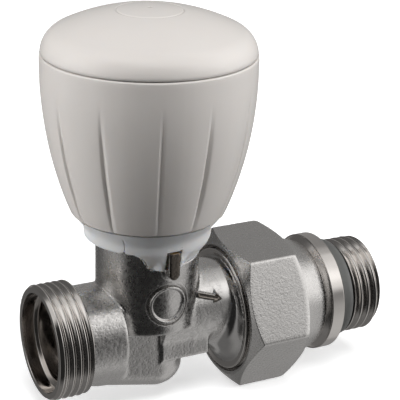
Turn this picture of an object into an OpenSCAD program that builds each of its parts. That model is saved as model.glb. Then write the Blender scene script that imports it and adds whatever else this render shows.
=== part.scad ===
// Straight manual radiator valve with a union tailpiece, in millimetres.
// The origin is the middle of the pipe-side thread, on the pipe axis. +X runs
// along the water path to the radiator, +Z up the stem to the handwheel.

/* [Pipe side] */
// Distance from the mouth to the stem axis
stem_x = 24; // [22:0.5:30]
// Outer radius of the pipe-side thread
pipe_thread_r = 12; // [11.5:0.1:12.5]
// Pitch of the pipe-side thread
pipe_pitch = 1.5; // [1:0.25:2]
// Number of turns on the pipe-side thread
pipe_turns = 5; // [3:1:6]
// Radius of the socket inside the mouth
socket_r = 8.8; // [8.5:0.1:9.2]
// Depth of the socket
socket_depth = 9.8; // [8:0.1:11]
// Outer radius of the inlet branch behind the thread
branch_r = 10.3; // [9.8:0.1:10.4]

/* [Valve body] */
// Outer radius of the upright chamber
chamber_r = 10.7; // [10.4:0.1:11.4]
// Bore of the chamber
chamber_bore_r = 7.9; // [7.6:0.1:8.2]
// Height where the chamber's outer wall starts
chamber_base_z = 1.8; // [1:0.1:2.6]
// Height of the chamber floor round the seat
floor_z = 2.4; // [2:0.1:3]
// Height of the seat above the floor
seat_h = 1.8; // [1.2:0.1:2]
// Radius of the water passage below the seat
passage_r = 4.7; // [4.2:0.1:4.9]
// Radial width of the seat ring
seat_w = 1.3; // [1:0.1:1.5]
// Half width of the belly below the chamber
belly_r = 7.4; // [7.2:0.1:8]
// Depth of the belly below the pipe axis
belly_depth = 12.8; // [12:0.1:14]
// Reach of the belly under the inlet branch
belly_reach = 11.4; // [9:0.1:13]
// Corner radius under the belly
belly_round = 4.5; // [3:0.5:5]
// Outer radius of the outlet neck
neck_r = 8.9; // [8.6:0.1:9.3]
// Height of the neck's centre above the pipe axis
neck_z = 2.9; // [2.5:0.1:3.3]
// Radius of the sweep that flares the neck out to the union
flare_r = 6.6; // [6:0.1:7]
// Height of the shelf that the base ring's apron stands on
shelf_z = 16.6; // [16:0.1:17]
// Height of the chamber's top face
collar_top_z = 21.3; // [21:0.1:22]
// Width of the two anti-turn keys on the chamber
key_w = 2.3; // [1.6:0.1:2.6]
// Radius that the keys reach out to
key_r = 13.1; // [12:0.1:13.1]
// Radius of the blank disc on the chamber's side
disc_r = 4.6; // [3.5:0.1:5]

/* [Union] */
// Radius of the body's union thread
union_thread_r = 13.1; // [13:0.1:13.3]
// Pitch of the union thread and of the tail thread
gas_pitch = 1.814; // [1.5:0.001:2]
// Turns of thread that the union nut can run on
union_turns = 5; // [4:1:5]
// Distance from the stem axis to the body's outlet face
outlet_x = 27; // [26.5:0.1:28]
// Distance from the stem axis to the nut's open face
nut_x = 17.2; // [17:0.1:18]
// Length of the nut's hexagon
nut_hex_l = 13.3; // [12.5:0.1:14]
// Width across the nut's flats
nut_af = 30; // [29.5:0.1:32]
// Length of the nut's round collar
nut_collar_l = 6.5; // [5.5:0.1:7]
// Radius at the end of the nut's collar
nut_collar_r = 11.6; // [11.2:0.1:12]

/* [Tailpiece] */
// Outer radius of the tail tube
tail_r = 9.4; // [9.2:0.1:9.6]
// Bore of the tail tube
tail_bore_r = 6.4; // [5.5:0.1:6.8]
// Width across the flats of the key socket in the tail
tail_key_af = 12; // [10:0.5:12]
// Depth of the key socket
tail_key_l = 13.2; // [10:0.1:16]
// Radius of the tail's flange
flange_r = 12.8; // [12.4:0.1:13.2]
// Length of the tail's flange
flange_l = 3.4; // [3:0.1:4]
// Radius of the tail thread
tail_thread_r = 10.478; // [10:0.001:11]
// Number of turns on the tail thread
tail_turns = 4; // [3:1:6]
// Width of the soft seal behind the tail thread
tail_seal_w = 3; // [2:0.1:4]

/* [Insert and stem] */
// Height where the insert's body starts
insert_z = 11.5; // [11:0.1:12]
// Bore that holds the spring
spring_bore_r = 4.5; // [4.2:0.1:4.8]
// Radius of the stem
stem_r = 1.5; // [1.2:0.1:1.8]
// Height of the stem's tip with the valve open
stem_top_z = 34.5; // [34:0.1:36]
// Lift of the closing disc off its seat
lift = 3; // [2:0.5:3]
// Wire thickness of the return spring
spring_wire = 0.8; // [0.6:0.1:1]
// Number of turns in the return spring
spring_turns = 5; // [3:1:5]
// Width across the insert's flats
insert_af = 17; // [16:0.5:18]

/* [Handwheel] */
// Largest outer radius of the handwheel
knob_r = 21.6; // [20:0.1:24]
// Height of the handwheel's lower edge
knob_z = 25.95; // [25.9:0.05:26.5]
// Height of the seam between skirt and cap
seam_z = 58.5; // [57:0.5:62]
// Radius of the long curve down the skirt
skirt_curve_r = 77; // [70:1:100]
// Height where the skirt is widest
skirt_wide_z = 55.35; // [54:0.05:56]
// Wall of the skirt and cap
knob_wall = 1.8; // [1.4:0.1:2.2]
// Number of grooves round the skirt
groove_count = 12; // [8:1:16]
// Depth of the grooves at the lower edge
groove_depth = 0.8; // [0.4:0.1:1]
// Corner radius of the cap
cap_corner_r = 5.4; // [4:0.1:6]
// Radius of the cap's dome
cap_dome_r = 42.4; // [36:0.1:60]
// Radius of the guide tube that the handwheel turns on
guide_r = 8.3; // [8:0.1:8.8]
// Height of the guide tube's top
guide_top_z = 45.5; // [45:0.5:46]
// Radius of the pusher's screw
screw_r = 5.2; // [4.8:0.1:5.4]
// Pitch of the pusher's screw
screw_pitch = 1.5; // [1:0.25:2]

/* [Base ring] */
// Radius of the ring's band
band_r = 13.2; // [13:0.1:13.6]
// Height of the band's lower edge
band_z = 20.7; // [20.7:0.1:20.9]
// Height where the band's upper flare starts
band_top_z = 23.1; // [22.8:0.1:23.4]
// Step from the handwheel's foot in to the ring's flare
flare_step = 0.45; // [0.2:0.05:1]
// Reach of the ring's apron past the stem axis, toward the pipe side
apron_reach = 3.5; // [2:0.1:4.5]
// Radius of the curve that flares the apron up into the band
apron_flare_r = 4.5; // [4:0.1:4.6]

/* [Hidden] */

$fn = 96;
facet_fn = 32;
cut = 1;
slide_gap = 0.08;
loose_gap = 0.3;
thread_depth = 0.6;
crest_share = 0.3;
pipe_thread_l = pipe_turns * pipe_pitch;
stem_at_x = stem_x - pipe_thread_l / 2;

metal = "silver";
brass = "goldenrod";
steel = "lightsteelblue";
ivory = "ivory";
white_plastic = "gainsboro";
rubber = "dimgray";

// Points along a circular arc, from one angle to the other
function arc(cx, cy, r, from, to, steps) =
    [for (i = [0:steps]) let (a = from + (to - from) * i / steps)
        [cx + r * cos(a), cy + r * sin(a)]];

// Edge of a ring-groove thread as [radius, place] points. The crests are
// flat, and each groove is a plain V.
function thread_edge(start, turns, pitch, crest, depth) =
    [for (i = [0:turns - 1]) each [
        [crest - depth, start + pitch * i],
        [crest, start + pitch * (0.5 + i - crest_share / 2)],
        [crest, start + pitch * (0.5 + i + crest_share / 2)]]];

// Radius of the handwheel's skirt at a height
function skirt_r(z) = knob_r - skirt_curve_r
    + sqrt(pow(skirt_curve_r, 2) - pow(skirt_wide_z - z, 2));

// Solid of revolution about the stem axis from [radius, height] points
module spin_z(outline) {
    translate([stem_at_x, 0, 0])
        rotate_extrude() polygon(outline);
}

// Solid of revolution about the pipe axis from [radius, place] points,
// with places measured from the stem axis
module spin_x(outline) {
    translate([stem_at_x, 0, 0])
        rotate([0, 90, 0])
            rotate_extrude() polygon(outline);
}

// Round bar along X, from one place to another, at a height
module bar_x(r, from, to, z = 0) {
    translate([stem_at_x + from, 0, z])
        rotate([0, 90, 0])
            cylinder(r = r, h = to - from);
}

// Round bar up the stem axis
module bar_z(r, from, to) {
    translate([stem_at_x, 0, from])
        cylinder(r = r, h = to - from);
}

// Hexagonal prism up the stem axis
module hex_z(af, from, to) {
    translate([stem_at_x, 0, from])
        cylinder(r = af / 2 / cos(30), h = to - from, $fn = 6);
}

// Ring of round section round the stem axis
module o_ring_z(mid_r, wire_r, z) {
    translate([stem_at_x, 0, z])
        rotate_extrude()
            translate([mid_r, 0]) circle(r = wire_r, $fn = facet_fn);
}

// Wedge that spans an angle to each side of a direction, seen from above
module sector(direction, half_angle, r, from, to) {
    translate([stem_at_x, 0, from])
        linear_extrude(to - from)
            polygon([[0, 0],
                [r * cos(direction - half_angle), r * sin(direction - half_angle)],
                [r * 1.3 * cos(direction), r * 1.3 * sin(direction)],
                [r * cos(direction + half_angle), r * sin(direction + half_angle)]]);
}

// Directions of the two keys, seen from above
key_directions = [90, 270];

// Body casting
thread_end_x = -stem_x + pipe_thread_l;
mouth_r = socket_r + 1.5;
mouth_depth = 2.3;
seat_r = passage_r + seat_w;
seat_z = floor_z + seat_h;
passage_z = chamber_base_z - 1.7 - passage_r;
collar_r = chamber_r - 1;
flare_start_x = nut_x - 0.1 - flare_r;
flare_edge_r = union_thread_r - 0.1;
outlet_bore_r = 8.6;
mouth_edge = 0.8;
duct_r = passage_r - 0.7;
duct_slope = 24;
throat_l = 4.5;
union_thread_l = union_turns * gas_pitch;
union_thread_x = outlet_x - union_thread_l;
key_top_z = shelf_z + 4.3;
key_low_z = shelf_z - 1.6;
key_boss_w = 0.45;
key_slot_gap = key_boss_w + 0.05;
disc_rise = 6.8;
disc_z = chamber_base_z + disc_rise;
disc_groove = 0.5;
apron_gap = 0.15;
arrow_rise = 3.4;
arrow_z = neck_z + arrow_rise;
block_h = 8.8;
block_w = 15.4;
block_end_x = 11;

// Inlet branch with its thread. The flat rim leads straight to the first crest.
module inlet_form() {
    rim_r = pipe_thread_r - thread_depth / 2;
    edge = thread_edge(-stem_x, pipe_turns, pipe_pitch, pipe_thread_r, thread_depth);
    spin_x(concat(
        [[0, -stem_x], [rim_r, -stem_x]],
        [for (i = [1:len(edge) - 1]) edge[i]],
        [[pipe_thread_r - thread_depth, thread_end_x], [branch_r, thread_end_x + 0.8],
            [branch_r, -belly_r], [0, -belly_r]]));
}

// Upright post whose lower edge is rounded
module belly_post() {
    rotate_extrude($fn = facet_fn)
        polygon(concat(
            [[0, floor_z], [0, -belly_depth]],
            arc(belly_r - belly_round, belly_round - belly_depth,
                belly_round, -90, 0, 6),
            [[belly_r, floor_z]]));
}

module belly_form() {
    hull() {
        translate([stem_at_x, 0, 0]) belly_post();
        translate([stem_at_x - belly_reach, 0, belly_depth - branch_r]) belly_post();
    }
}

module outlet_form() {
    neck_end_x = flare_start_x + flare_r - 1;
    bar_x(neck_r, 0, neck_end_x, neck_z);
    spin_x(concat(
        [[0, 0], [flare_edge_r - flare_r, 0]],
        [for (p = arc(0, 0, flare_r, 0, 90, 8))
            [flare_edge_r - p[0], flare_start_x + p[1]]],
        [[flare_edge_r, union_thread_x]],
        thread_edge(union_thread_x, union_turns, gas_pitch,
            union_thread_r, thread_depth),
        [[union_thread_r - thread_depth, outlet_x], [0, outlet_x]]));
    translate([stem_at_x, -block_w / 2, neck_z - neck_r])
        cube([block_end_x, block_w, block_h]);
}

// Raised flow arrow that follows the neck's curve
module arrow_form() {
    shaft_x = 8.4;
    head_x = 11.9;
    tip_x = 14.6;
    intersection() {
        bar_x(neck_r + 0.5, 0, tip_x + cut, neck_z);
        translate([stem_at_x, 0, arrow_z])
            rotate([90, 0, 0])
                linear_extrude(chamber_r)
                    polygon([[shaft_x, -0.7], [head_x, -0.7], [head_x, -1.5],
                        [tip_x, 0], [head_x, 1.5], [head_x, 0.7], [shaft_x, 0.7]]);
    }
}

// One anti-turn key: a rib with a round foot on a soft boss
module key_form(direction) {
    rib_mid_z = key_low_z + key_w / 2;
    translate([stem_at_x, 0, 0])
        rotate([0, 0, direction]) {
            translate([chamber_bore_r + 0.6, -key_w / 2, rib_mid_z])
                cube([key_r - chamber_bore_r - 0.6, key_w, key_top_z - rib_mid_z]);
            translate([chamber_bore_r + 0.6, 0, rib_mid_z])
                rotate([0, 90, 0])
                    cylinder(r = key_w / 2, h = key_r - chamber_bore_r - 0.6);
            translate([chamber_bore_r + 0.6, 0, rib_mid_z])
                rotate([0, 90, 0])
                    cylinder(r = key_w / 2 + key_boss_w,
                        h = chamber_r + 0.35 - chamber_bore_r - 0.6);
        }
}

// Block that the base ring's apron fills, with its curved edge toward the pipe
// side. The casting's pocket is the same block, larger by a gap.
module apron_block(grow) {
    flare_x = -apron_reach - 0.9 - apron_flare_r;
    translate([stem_at_x, band_r * 1.2, 0])
        rotate([90, 0, 0])
            linear_extrude(band_r * 2.4)
                polygon(concat(
                    [[band_r * 1.2, shelf_z], [-apron_reach - grow, shelf_z],
                        [-apron_reach - 0.4 - grow, shelf_z + 0.2]],
                    arc(flare_x, band_z + 0.1 - apron_flare_r,
                        apron_flare_r - grow, 20, 90, 6),
                    [[flare_x, collar_top_z + cut],
                        [band_r * 1.2, collar_top_z + cut]]));
}

module chamber_form() {
    difference() {
        bar_z(chamber_r, chamber_base_z, collar_top_z - 0.5);
        difference() {
            apron_block(apron_gap);
            bar_z(collar_r, 0, collar_top_z + cut);
        }
    }
    bar_z(collar_r, chamber_base_z, collar_top_z);
    for (a = key_directions) key_form(a);
}

// Round groove of even depth on the chamber's side
module disc_groove_cut(direction) {
    difference() {
        translate([stem_at_x, 0, disc_z])
            rotate([90, 0, direction]) {
                difference() {
                    cylinder(r = disc_r, h = chamber_r * 1.2);
                    translate([0, 0, -cut])
                        cylinder(r = disc_r - 0.6, h = chamber_r * 1.2 + 2 * cut);
                }
            }
        bar_z(chamber_r - disc_groove, 0, collar_top_z);
    }
}

module water_way() {
    spin_x([[0, -stem_x - cut], [mouth_r, -stem_x - cut],
        [mouth_r, -stem_x + mouth_depth], [socket_r, -stem_x + mouth_depth + 0.9],
        [socket_r, -stem_x + socket_depth],
        [socket_r - 2, -stem_x + socket_depth + 1.2],
        [0, -stem_x + socket_depth + 1.2]]);
    bar_x(passage_r, -stem_x + socket_depth, passage_r - 1.5, passage_z);
    bar_z(passage_r, passage_z - passage_r + 1, seat_z + cut);
    difference() {
        bar_z(chamber_bore_r, floor_z, collar_top_z + cut);
        bar_z(seat_r, 0, seat_z);
    }
    duct_start_z = floor_z + passage_r - 0.5;
    throat_x = nut_x + 0.3 - throat_l;
    duct_l = (throat_x + throat_l - chamber_bore_r) / cos(duct_slope);
    translate([stem_at_x + chamber_bore_r - 0.1, 0, duct_start_z])
        rotate([0, 90 + duct_slope, 0])
            cylinder(r = duct_r, h = duct_l);
    spin_x([[0, throat_x], [passage_r, throat_x], [outlet_bore_r, throat_x + throat_l],
        [outlet_bore_r, outlet_x - mouth_edge], [outlet_bore_r + mouth_edge, outlet_x],
        [outlet_bore_r + mouth_edge, outlet_x + cut], [0, outlet_x + cut]]);
}

module valve_body() {
    color(metal)
        difference() {
            union() {
                inlet_form();
                belly_form();
                outlet_form();
                arrow_form();
                chamber_form();
            }
            water_way();
            for (a = [0, 180]) disc_groove_cut(a);
        }
}

// Insert that closes the chamber and guides the stem
insert_r = chamber_bore_r - 0.05;
insert_hex_h = 4;
insert_neck_h = 3.8;
insert_flange_z = collar_top_z + insert_hex_h;
insert_top_z = insert_flange_z + insert_neck_h;
spring_top_z = insert_flange_z - 0.8;
stem_hole_r = stem_r + slide_gap;
gland_r = 3.6;
gland_z = spring_top_z + 1.5;
o_ring_depth = 1.3;
o_ring_groove_r = insert_r - o_ring_depth;
o_ring_z0 = insert_z + 0.6;
o_ring_w = 1.8;

module valve_insert() {
    color(brass)
        difference() {
            union() {
                spin_z(concat(
                    [[0, insert_z], [insert_r - 0.4, insert_z],
                        [insert_r, insert_z + 0.4], [insert_r, o_ring_z0],
                        [o_ring_groove_r, o_ring_z0],
                        [o_ring_groove_r, o_ring_z0 + o_ring_w],
                        [insert_r, o_ring_z0 + o_ring_w]],
                    thread_edge(o_ring_z0 + o_ring_w + 0.6, 4, 1.5, insert_r, 0.5),
                    [[insert_r - 0.5, collar_top_z], [0, collar_top_z]]));
                intersection() {
                    hex_z(insert_af, collar_top_z, insert_flange_z);
                    spin_z([[0, collar_top_z], [insert_af / 2 + 0.9, collar_top_z],
                        [insert_af / 2 + 0.9, insert_flange_z - 0.9],
                        [insert_af / 2, insert_flange_z], [0, insert_flange_z]]);
                }
                bar_z(gland_r + 2, insert_flange_z - cut, insert_top_z);
            }
            bar_z(spring_bore_r, insert_z - cut, spring_top_z);
            bar_z(stem_hole_r, insert_z, insert_top_z);
            bar_z(gland_r, gland_z, insert_top_z + cut);
        }
}

bush_l = 2;
bush_z = insert_z + 0.3;

module guide_bush() {
    color(brass)
        difference() {
            bar_z(spring_bore_r, bush_z, bush_z + bush_l);
            bar_z(stem_hole_r, bush_z - cut, bush_z + bush_l + cut);
        }
}

module insert_o_ring() {
    wire_r = (chamber_bore_r - o_ring_groove_r) / 2;
    color(rubber)
        o_ring_z(o_ring_groove_r + wire_r, wire_r, o_ring_z0 + o_ring_w / 2);
}

gland_ring_wire_r = (gland_r - stem_hole_r) / 2;

module gland_o_ring() {
    color(rubber)
        o_ring_z(stem_hole_r + gland_ring_wire_r, gland_ring_wire_r - 0.02,
            gland_z + gland_ring_wire_r);
}

gland_nut_af = 9;
gland_nut_h = 2;

module gland_nut() {
    foot_z = gland_z + 2 * gland_ring_wire_r;
    color(brass)
        difference() {
            union() {
                bar_z(gland_r - 0.02, foot_z, insert_top_z + cut / 2);
                intersection() {
                    hex_z(gland_nut_af, insert_top_z, insert_top_z + gland_nut_h);
                    spin_z([[0, insert_top_z], [gland_nut_af / 2 + 0.5, insert_top_z],
                        [gland_nut_af / 2 + 0.5, insert_top_z + gland_nut_h - 0.5],
                        [gland_nut_af / 2, insert_top_z + gland_nut_h],
                        [0, insert_top_z + gland_nut_h]]);
                }
            }
            bar_z(stem_hole_r, foot_z - cut, insert_top_z + gland_nut_h + cut);
        }
}

// Moving stem, drawn with the valve open
closed_gap = 0.2;
washer_z = seat_z + lift + closed_gap;
washer_h = 1.7;
washer_r = seat_r + 0.2;
holder_h = 1.6;
clip_h = 1.2;
stem_low_z = washer_z - clip_h - 0.5;
tip_round = 0.6;
retainer_h = 1;
retainer_z = spring_top_z - 0.2 - retainer_h;
stem_groove = 0.4;

module stem_pin() {
    color(steel)
        spin_z(concat(
            [[0, stem_low_z], [stem_r, stem_low_z],
                [stem_r, washer_z - clip_h], [stem_r - stem_groove, washer_z - clip_h],
                [stem_r - stem_groove, washer_z], [stem_r, washer_z],
                [stem_r, retainer_z], [stem_r - stem_groove, retainer_z],
                [stem_r - stem_groove, retainer_z + retainer_h],
                [stem_r, retainer_z + retainer_h]],
            arc(stem_r - tip_round, stem_top_z - tip_round, tip_round, 0, 90, 5),
            [[0, stem_top_z]]));
}

module closing_disc_holder() {
    rim_r = washer_r + 0.7;
    top_z = washer_z + washer_h + holder_h;
    color(brass)
        spin_z([[stem_r, washer_z + washer_h], [washer_r, washer_z + washer_h],
            [washer_r, washer_z + 0.5], [rim_r, washer_z + 0.5],
            [rim_r, top_z - 0.6], [rim_r - 0.6, top_z], [stem_r, top_z]]);
}

module seat_washer() {
    color(rubber)
        spin_z([[stem_r, washer_z], [washer_r - 0.3, washer_z],
            [washer_r, washer_z + 0.3], [washer_r, washer_z + washer_h],
            [stem_r, washer_z + washer_h]]);
}

module washer_clip() {
    color(steel)
        spin_z([[stem_r - stem_groove, washer_z - clip_h], [stem_r + 1.5, washer_z - clip_h],
            [stem_r + 1.5, washer_z], [stem_r - stem_groove, washer_z]]);
}

module spring_retainer() {
    color(steel)
        spin_z([[stem_r - stem_groove, retainer_z], [spring_bore_r - 0.5, retainer_z],
            [spring_bore_r - 0.5, retainer_z + retainer_h],
            [stem_r - stem_groove, retainer_z + retainer_h]]);
}

// Coil spring between the bush and the retainer
coil_sides = 8;
coil_steps = 20;
coil_r = (spring_bore_r + stem_r) / 2;
coil_low_z = bush_z + bush_l + spring_wire / 2;
coil_high_z = retainer_z - spring_wire / 2;

function coil_point(i, j) =
    let (t = i / (coil_steps * spring_turns),
        a = 360 * spring_turns * t,
        b = 360 * j / coil_sides,
        r = coil_r + spring_wire / 2 * cos(b))
    [stem_at_x + r * cos(a), r * sin(a),
        coil_low_z + (coil_high_z - coil_low_z) * t + spring_wire / 2 * sin(b)];

module return_spring() {
    rings = coil_steps * spring_turns;
    points = [for (i = [0:rings]) for (j = [0:coil_sides - 1]) coil_point(i, j)];
    walls = [for (i = [0:rings - 1]) for (j = [0:coil_sides - 1])
        let (k = (j + 1) % coil_sides, a = i * coil_sides, b = a + coil_sides)
        each [[a + j, b + j, b + k], [a + j, b + k, a + k]]];
    first = [[for (j = [0:coil_sides - 1]) j]];
    last = [[for (j = [coil_sides - 1:-1:0]) rings * coil_sides + j]];
    color(steel) polyhedron(points, concat(walls, first, last), convexity = 8);
}

// Base ring: a cup that stands on the chamber and carries the guide tube
skirt_clear = 0.55;
ring_bore_r = chamber_r + 0.15;
ring_flare_r = skirt_r(knob_z) - flare_step;
ring_wall_r = skirt_r(knob_z) - knob_wall - skirt_clear;
deck_z = insert_top_z - 0.1;
deck_h = 1.8;
deck_top_z = deck_z + deck_h;
guide_bore_r = screw_r + 1.1;
guide_slot_r = guide_bore_r + 0.9;
guide_slot_w = 2.6;
split_direction = 225;
split_w = 0.3;
circlip_h = 0.8;
circlip_z = guide_top_z - 1.2 - circlip_h;
circlip_groove = 0.5;
circlip_gap_direction = 135;
ring_flare_z = knob_z - loose_gap - 0.05;

// Apron below the band, which stands on the chamber's shelf
module apron_form() {
    intersection() {
        spin_z([[collar_r + 0.1, shelf_z + 0.05], [chamber_r, shelf_z + 0.05],
            [chamber_r + 0.05, shelf_z + 1], [band_r, band_z - 0.3],
            [band_r, band_z + 0.5], [collar_r + 0.1, band_z + 0.5]]);
        apron_block(0);
    }
}

module base_ring() {
    notch_w = key_w + 2 * key_slot_gap;
    color(white_plastic)
        difference() {
            union() {
                spin_z([[ring_bore_r, band_z], [band_r - 0.2, band_z],
                    [band_r, band_z + 0.2], [band_r, band_top_z],
                    [ring_flare_r, ring_flare_z], [ring_wall_r, ring_flare_z],
                    [ring_wall_r, deck_top_z - 0.4], [ring_wall_r - 0.4, deck_top_z],
                    [guide_r, deck_top_z], [guide_r, circlip_z],
                    [guide_r - circlip_groove, circlip_z],
                    [guide_r - circlip_groove, circlip_z + circlip_h],
                    [guide_r, circlip_z + circlip_h], [guide_r, guide_top_z - 0.3],
                    [guide_r - 0.3, guide_top_z], [guide_bore_r, guide_top_z],
                    [guide_bore_r, deck_z], [ring_bore_r, deck_z]]);
                apron_form();
            }
            for (a = key_directions)
                translate([stem_at_x, 0, 0])
                    rotate([0, 0, a])
                        translate([0, -notch_w / 2, shelf_z - cut])
                            cube([band_r + cut, notch_w, key_top_z + 0.3 - shelf_z + cut]);
            for (a = [0, 180])
                translate([stem_at_x, 0, deck_z])
                    rotate([0, 0, a])
                        translate([0, -guide_slot_w / 2, -cut])
                            cube([guide_slot_r, guide_slot_w, guide_top_z - deck_z + 2 * cut]);
            translate([stem_at_x, 0, 0])
                rotate([0, 0, split_direction])
                    translate([chamber_r - cut, -split_w / 2, band_z - cut])
                        cube([ring_flare_r, split_w, ring_flare_z - band_z + cut - 0.8]);
        }
}

// Handwheel: skirt with hub, domed cap, drive nut and circlip
hub_bore_r = guide_r + slide_gap;
hub_r = guide_r + 2.8;
hub_low_z = deck_top_z + loose_gap;
hub_step_z = circlip_z - 0.2;
hub_socket_r = guide_r + 1.3;
web_rise = 4.5;
web_z = guide_top_z + web_rise;
web_h = 2;
seam_gap = 0.15;
lip_h = 4;
cap_r = knob_r - 0.15;
cap_socket_r = cap_r - knob_wall - 0.2;
skirt_steps = 14;

module skirt_grooves() {
    groove_angle = 2.4;
    phase = 280.5;
    low_z = knob_z - cut;
    high_z = skirt_wide_z - 1;
    for (i = [0:groove_count - 1])
        translate([stem_at_x, 0, 0])
            rotate([0, 0, phase + 360 * i / groove_count - groove_angle / 2])
                rotate_extrude(angle = groove_angle)
                    polygon(concat(
                        [[knob_r + cut, high_z], [knob_r + cut, low_z]],
                        [for (k = [0:8])
                            let (t = k / 8, z = low_z + (high_z - low_z) * t)
                            [skirt_r(z) - groove_depth * (1 - t), z]]));
}

module handwheel_skirt() {
    top_z = seam_z - seam_gap;
    step_z = top_z - lip_h - 0.5;
    outer = [for (k = [0:skirt_steps])
        let (z = knob_z + (skirt_wide_z - knob_z) * k / skirt_steps) [skirt_r(z), z]];
    inner = [for (k = [skirt_steps:-1:0])
        let (z = knob_z + (web_z - knob_z) * k / skirt_steps)
        [skirt_r(z) - knob_wall, z]];
    color(ivory) {
        difference() {
            spin_z(concat(outer,
                [[knob_r, top_z - 0.5], [knob_r - 0.4, top_z], [cap_socket_r, top_z],
                    [cap_socket_r, step_z], [skirt_r(step_z) - knob_wall, step_z - 0.8],
                    [skirt_r(web_z + web_h) - knob_wall, web_z + web_h],
                    [hub_socket_r, web_z + web_h], [hub_socket_r, hub_step_z],
                    [hub_bore_r, hub_step_z], [hub_bore_r, hub_low_z],
                    [hub_r, hub_low_z], [hub_r, web_z]],
                inner));
            skirt_grooves();
        }
    }
}

module handwheel_cap() {
    corner_x = cap_r - cap_corner_r;
    low_z = seam_z + seam_gap;
    dome_z = low_z - sqrt(pow(cap_dome_r - cap_corner_r, 2) - pow(corner_x, 2));
    turn = atan2(low_z - dome_z, corner_x);
    mark_r = 6.3;
    mark_w = 0.5;
    mark_angle = acos(mark_r / cap_dome_r);
    rim_r = cap_socket_r - 0.05;
    lip_w = knob_wall - 0.2;
    color(ivory)
        difference() {
            spin_z(concat(
                [[0, dome_z + cap_dome_r - knob_wall]],
                arc(0, dome_z, cap_dome_r - knob_wall, 90, turn, 8),
                [[rim_r - lip_w, low_z], [rim_r - lip_w, low_z - lip_h],
                    [rim_r, low_z - lip_h], [rim_r, low_z]],
                arc(corner_x, low_z, cap_corner_r, 0, turn, 6),
                [for (p = arc(0, dome_z, cap_dome_r, turn, 90, 12)) if (p[0] > 0.01) p],
                [[0, dome_z + cap_dome_r]]));
            spin_z([[mark_r, dome_z + cap_dome_r * sin(mark_angle) - 0.25],
                [mark_r + mark_w, dome_z + cap_dome_r * sin(mark_angle) - 0.25],
                [mark_r + mark_w, dome_z + cap_dome_r + cut],
                [mark_r, dome_z + cap_dome_r + cut]]);
        }
}

drive_clear = 0.8;
drive_low_z = guide_top_z + drive_clear;
drive_edge = 0.8;
drive_neck_h = 4;
drive_neck_w = 2.4;
drive_flange_w = 1.6;
drive_top_z = web_z + web_h + drive_neck_h;
screw_bore_r = screw_r + slide_gap;

module drive_nut() {
    flange_h = 1.6;
    thread_l = drive_top_z - drive_low_z - drive_edge - 0.1;
    drive_turns = floor(thread_l / screw_pitch + 0.2);
    color(brass)
        spin_z(concat(
            [[hub_socket_r - 0.05, drive_low_z], [hub_socket_r - 0.05, web_z + web_h],
                [hub_socket_r + drive_flange_w, web_z + web_h],
                [hub_socket_r + drive_flange_w, web_z + web_h + flange_h],
                [screw_r + drive_neck_w, web_z + web_h + flange_h],
                [screw_r + drive_neck_w, drive_top_z], [screw_bore_r, drive_top_z]],
            [for (i = [drive_turns - 1:-1:0])
                let (z = drive_low_z + drive_edge + screw_pitch * i) each [
                [screw_bore_r, z + screw_pitch * 0.8],
                [screw_bore_r + 0.45, z + screw_pitch * 0.45],
                [screw_bore_r, z + screw_pitch * 0.1]]],
            [[screw_bore_r, drive_low_z]]));
}

module handwheel_circlip() {
    color(steel)
        difference() {
            spin_z([[guide_r - circlip_groove + 0.02, circlip_z + 0.05],
                [hub_socket_r - 0.3, circlip_z + 0.05],
                [hub_socket_r - 0.3, circlip_z + circlip_h - 0.05],
                [guide_r - circlip_groove + 0.02, circlip_z + circlip_h - 0.05]]);
            sector(circlip_gap_direction, 20, guide_r * 1.2, circlip_z - cut, circlip_z + circlip_h + cut);
        }
}

// Pusher: keyed plunger with a screw above and a boss that meets the stem
boss_r = 2.4;
boss_z = stem_top_z + 0.1;
plunger_z = boss_z + 3.4;
plunger_h = 4;
plunger_r = guide_bore_r - slide_gap;
screw_turns = 9;

module pusher() {
    shank_z = plunger_z + plunger_h;
    key_reach = guide_slot_r - 0.15;
    color(white_plastic) {
        spin_z(concat(
            [[0, boss_z], [boss_r - 0.3, boss_z], [boss_r, boss_z + 0.3],
                [boss_r, plunger_z], [plunger_r, plunger_z], [plunger_r, shank_z]],
            thread_edge(shank_z, screw_turns, screw_pitch, screw_r, 0.5),
            [[screw_r - 0.5, shank_z + screw_turns * screw_pitch],
                [0, shank_z + screw_turns * screw_pitch]]));
        translate([stem_at_x - key_reach, -guide_slot_w / 2 + 0.15, plunger_z])
            cube([2 * key_reach, guide_slot_w - 0.3, plunger_h]);
    }
}

// Tailpiece with its nut, snap ring and seals
nose_r = outlet_bore_r - 0.2;
nose_l = 6.5;
nose_x = outlet_x - nose_l;
shoulder_r = tail_r + 0.8;
shoulder_x = outlet_x + loose_gap;
thrust_groove_x = shoulder_x + 1.2;
thrust_w = 1.9;
thrust_r = 11.6;
nut_lip_x = thrust_groove_x + thrust_w + loose_gap;
nut_hex_end_x = nut_x + nut_hex_l;
nut_end_x = nut_hex_end_x + nut_collar_l;
flange_x = nut_end_x + 1.1;
seal_x = flange_x + flange_l;
tail_thread_x = seal_x + tail_seal_w + 0.6;
tail_end_x = tail_thread_x + tail_turns * gas_pitch - 0.4;
seal_seat_r = tail_r - 0.4;
seal_rise = 1.8;
union_ring_x = nose_x + 2.6;
union_ring_w = 1.9;
union_groove_r = nose_r - o_ring_depth;
tail_thread_depth = 1;

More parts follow.
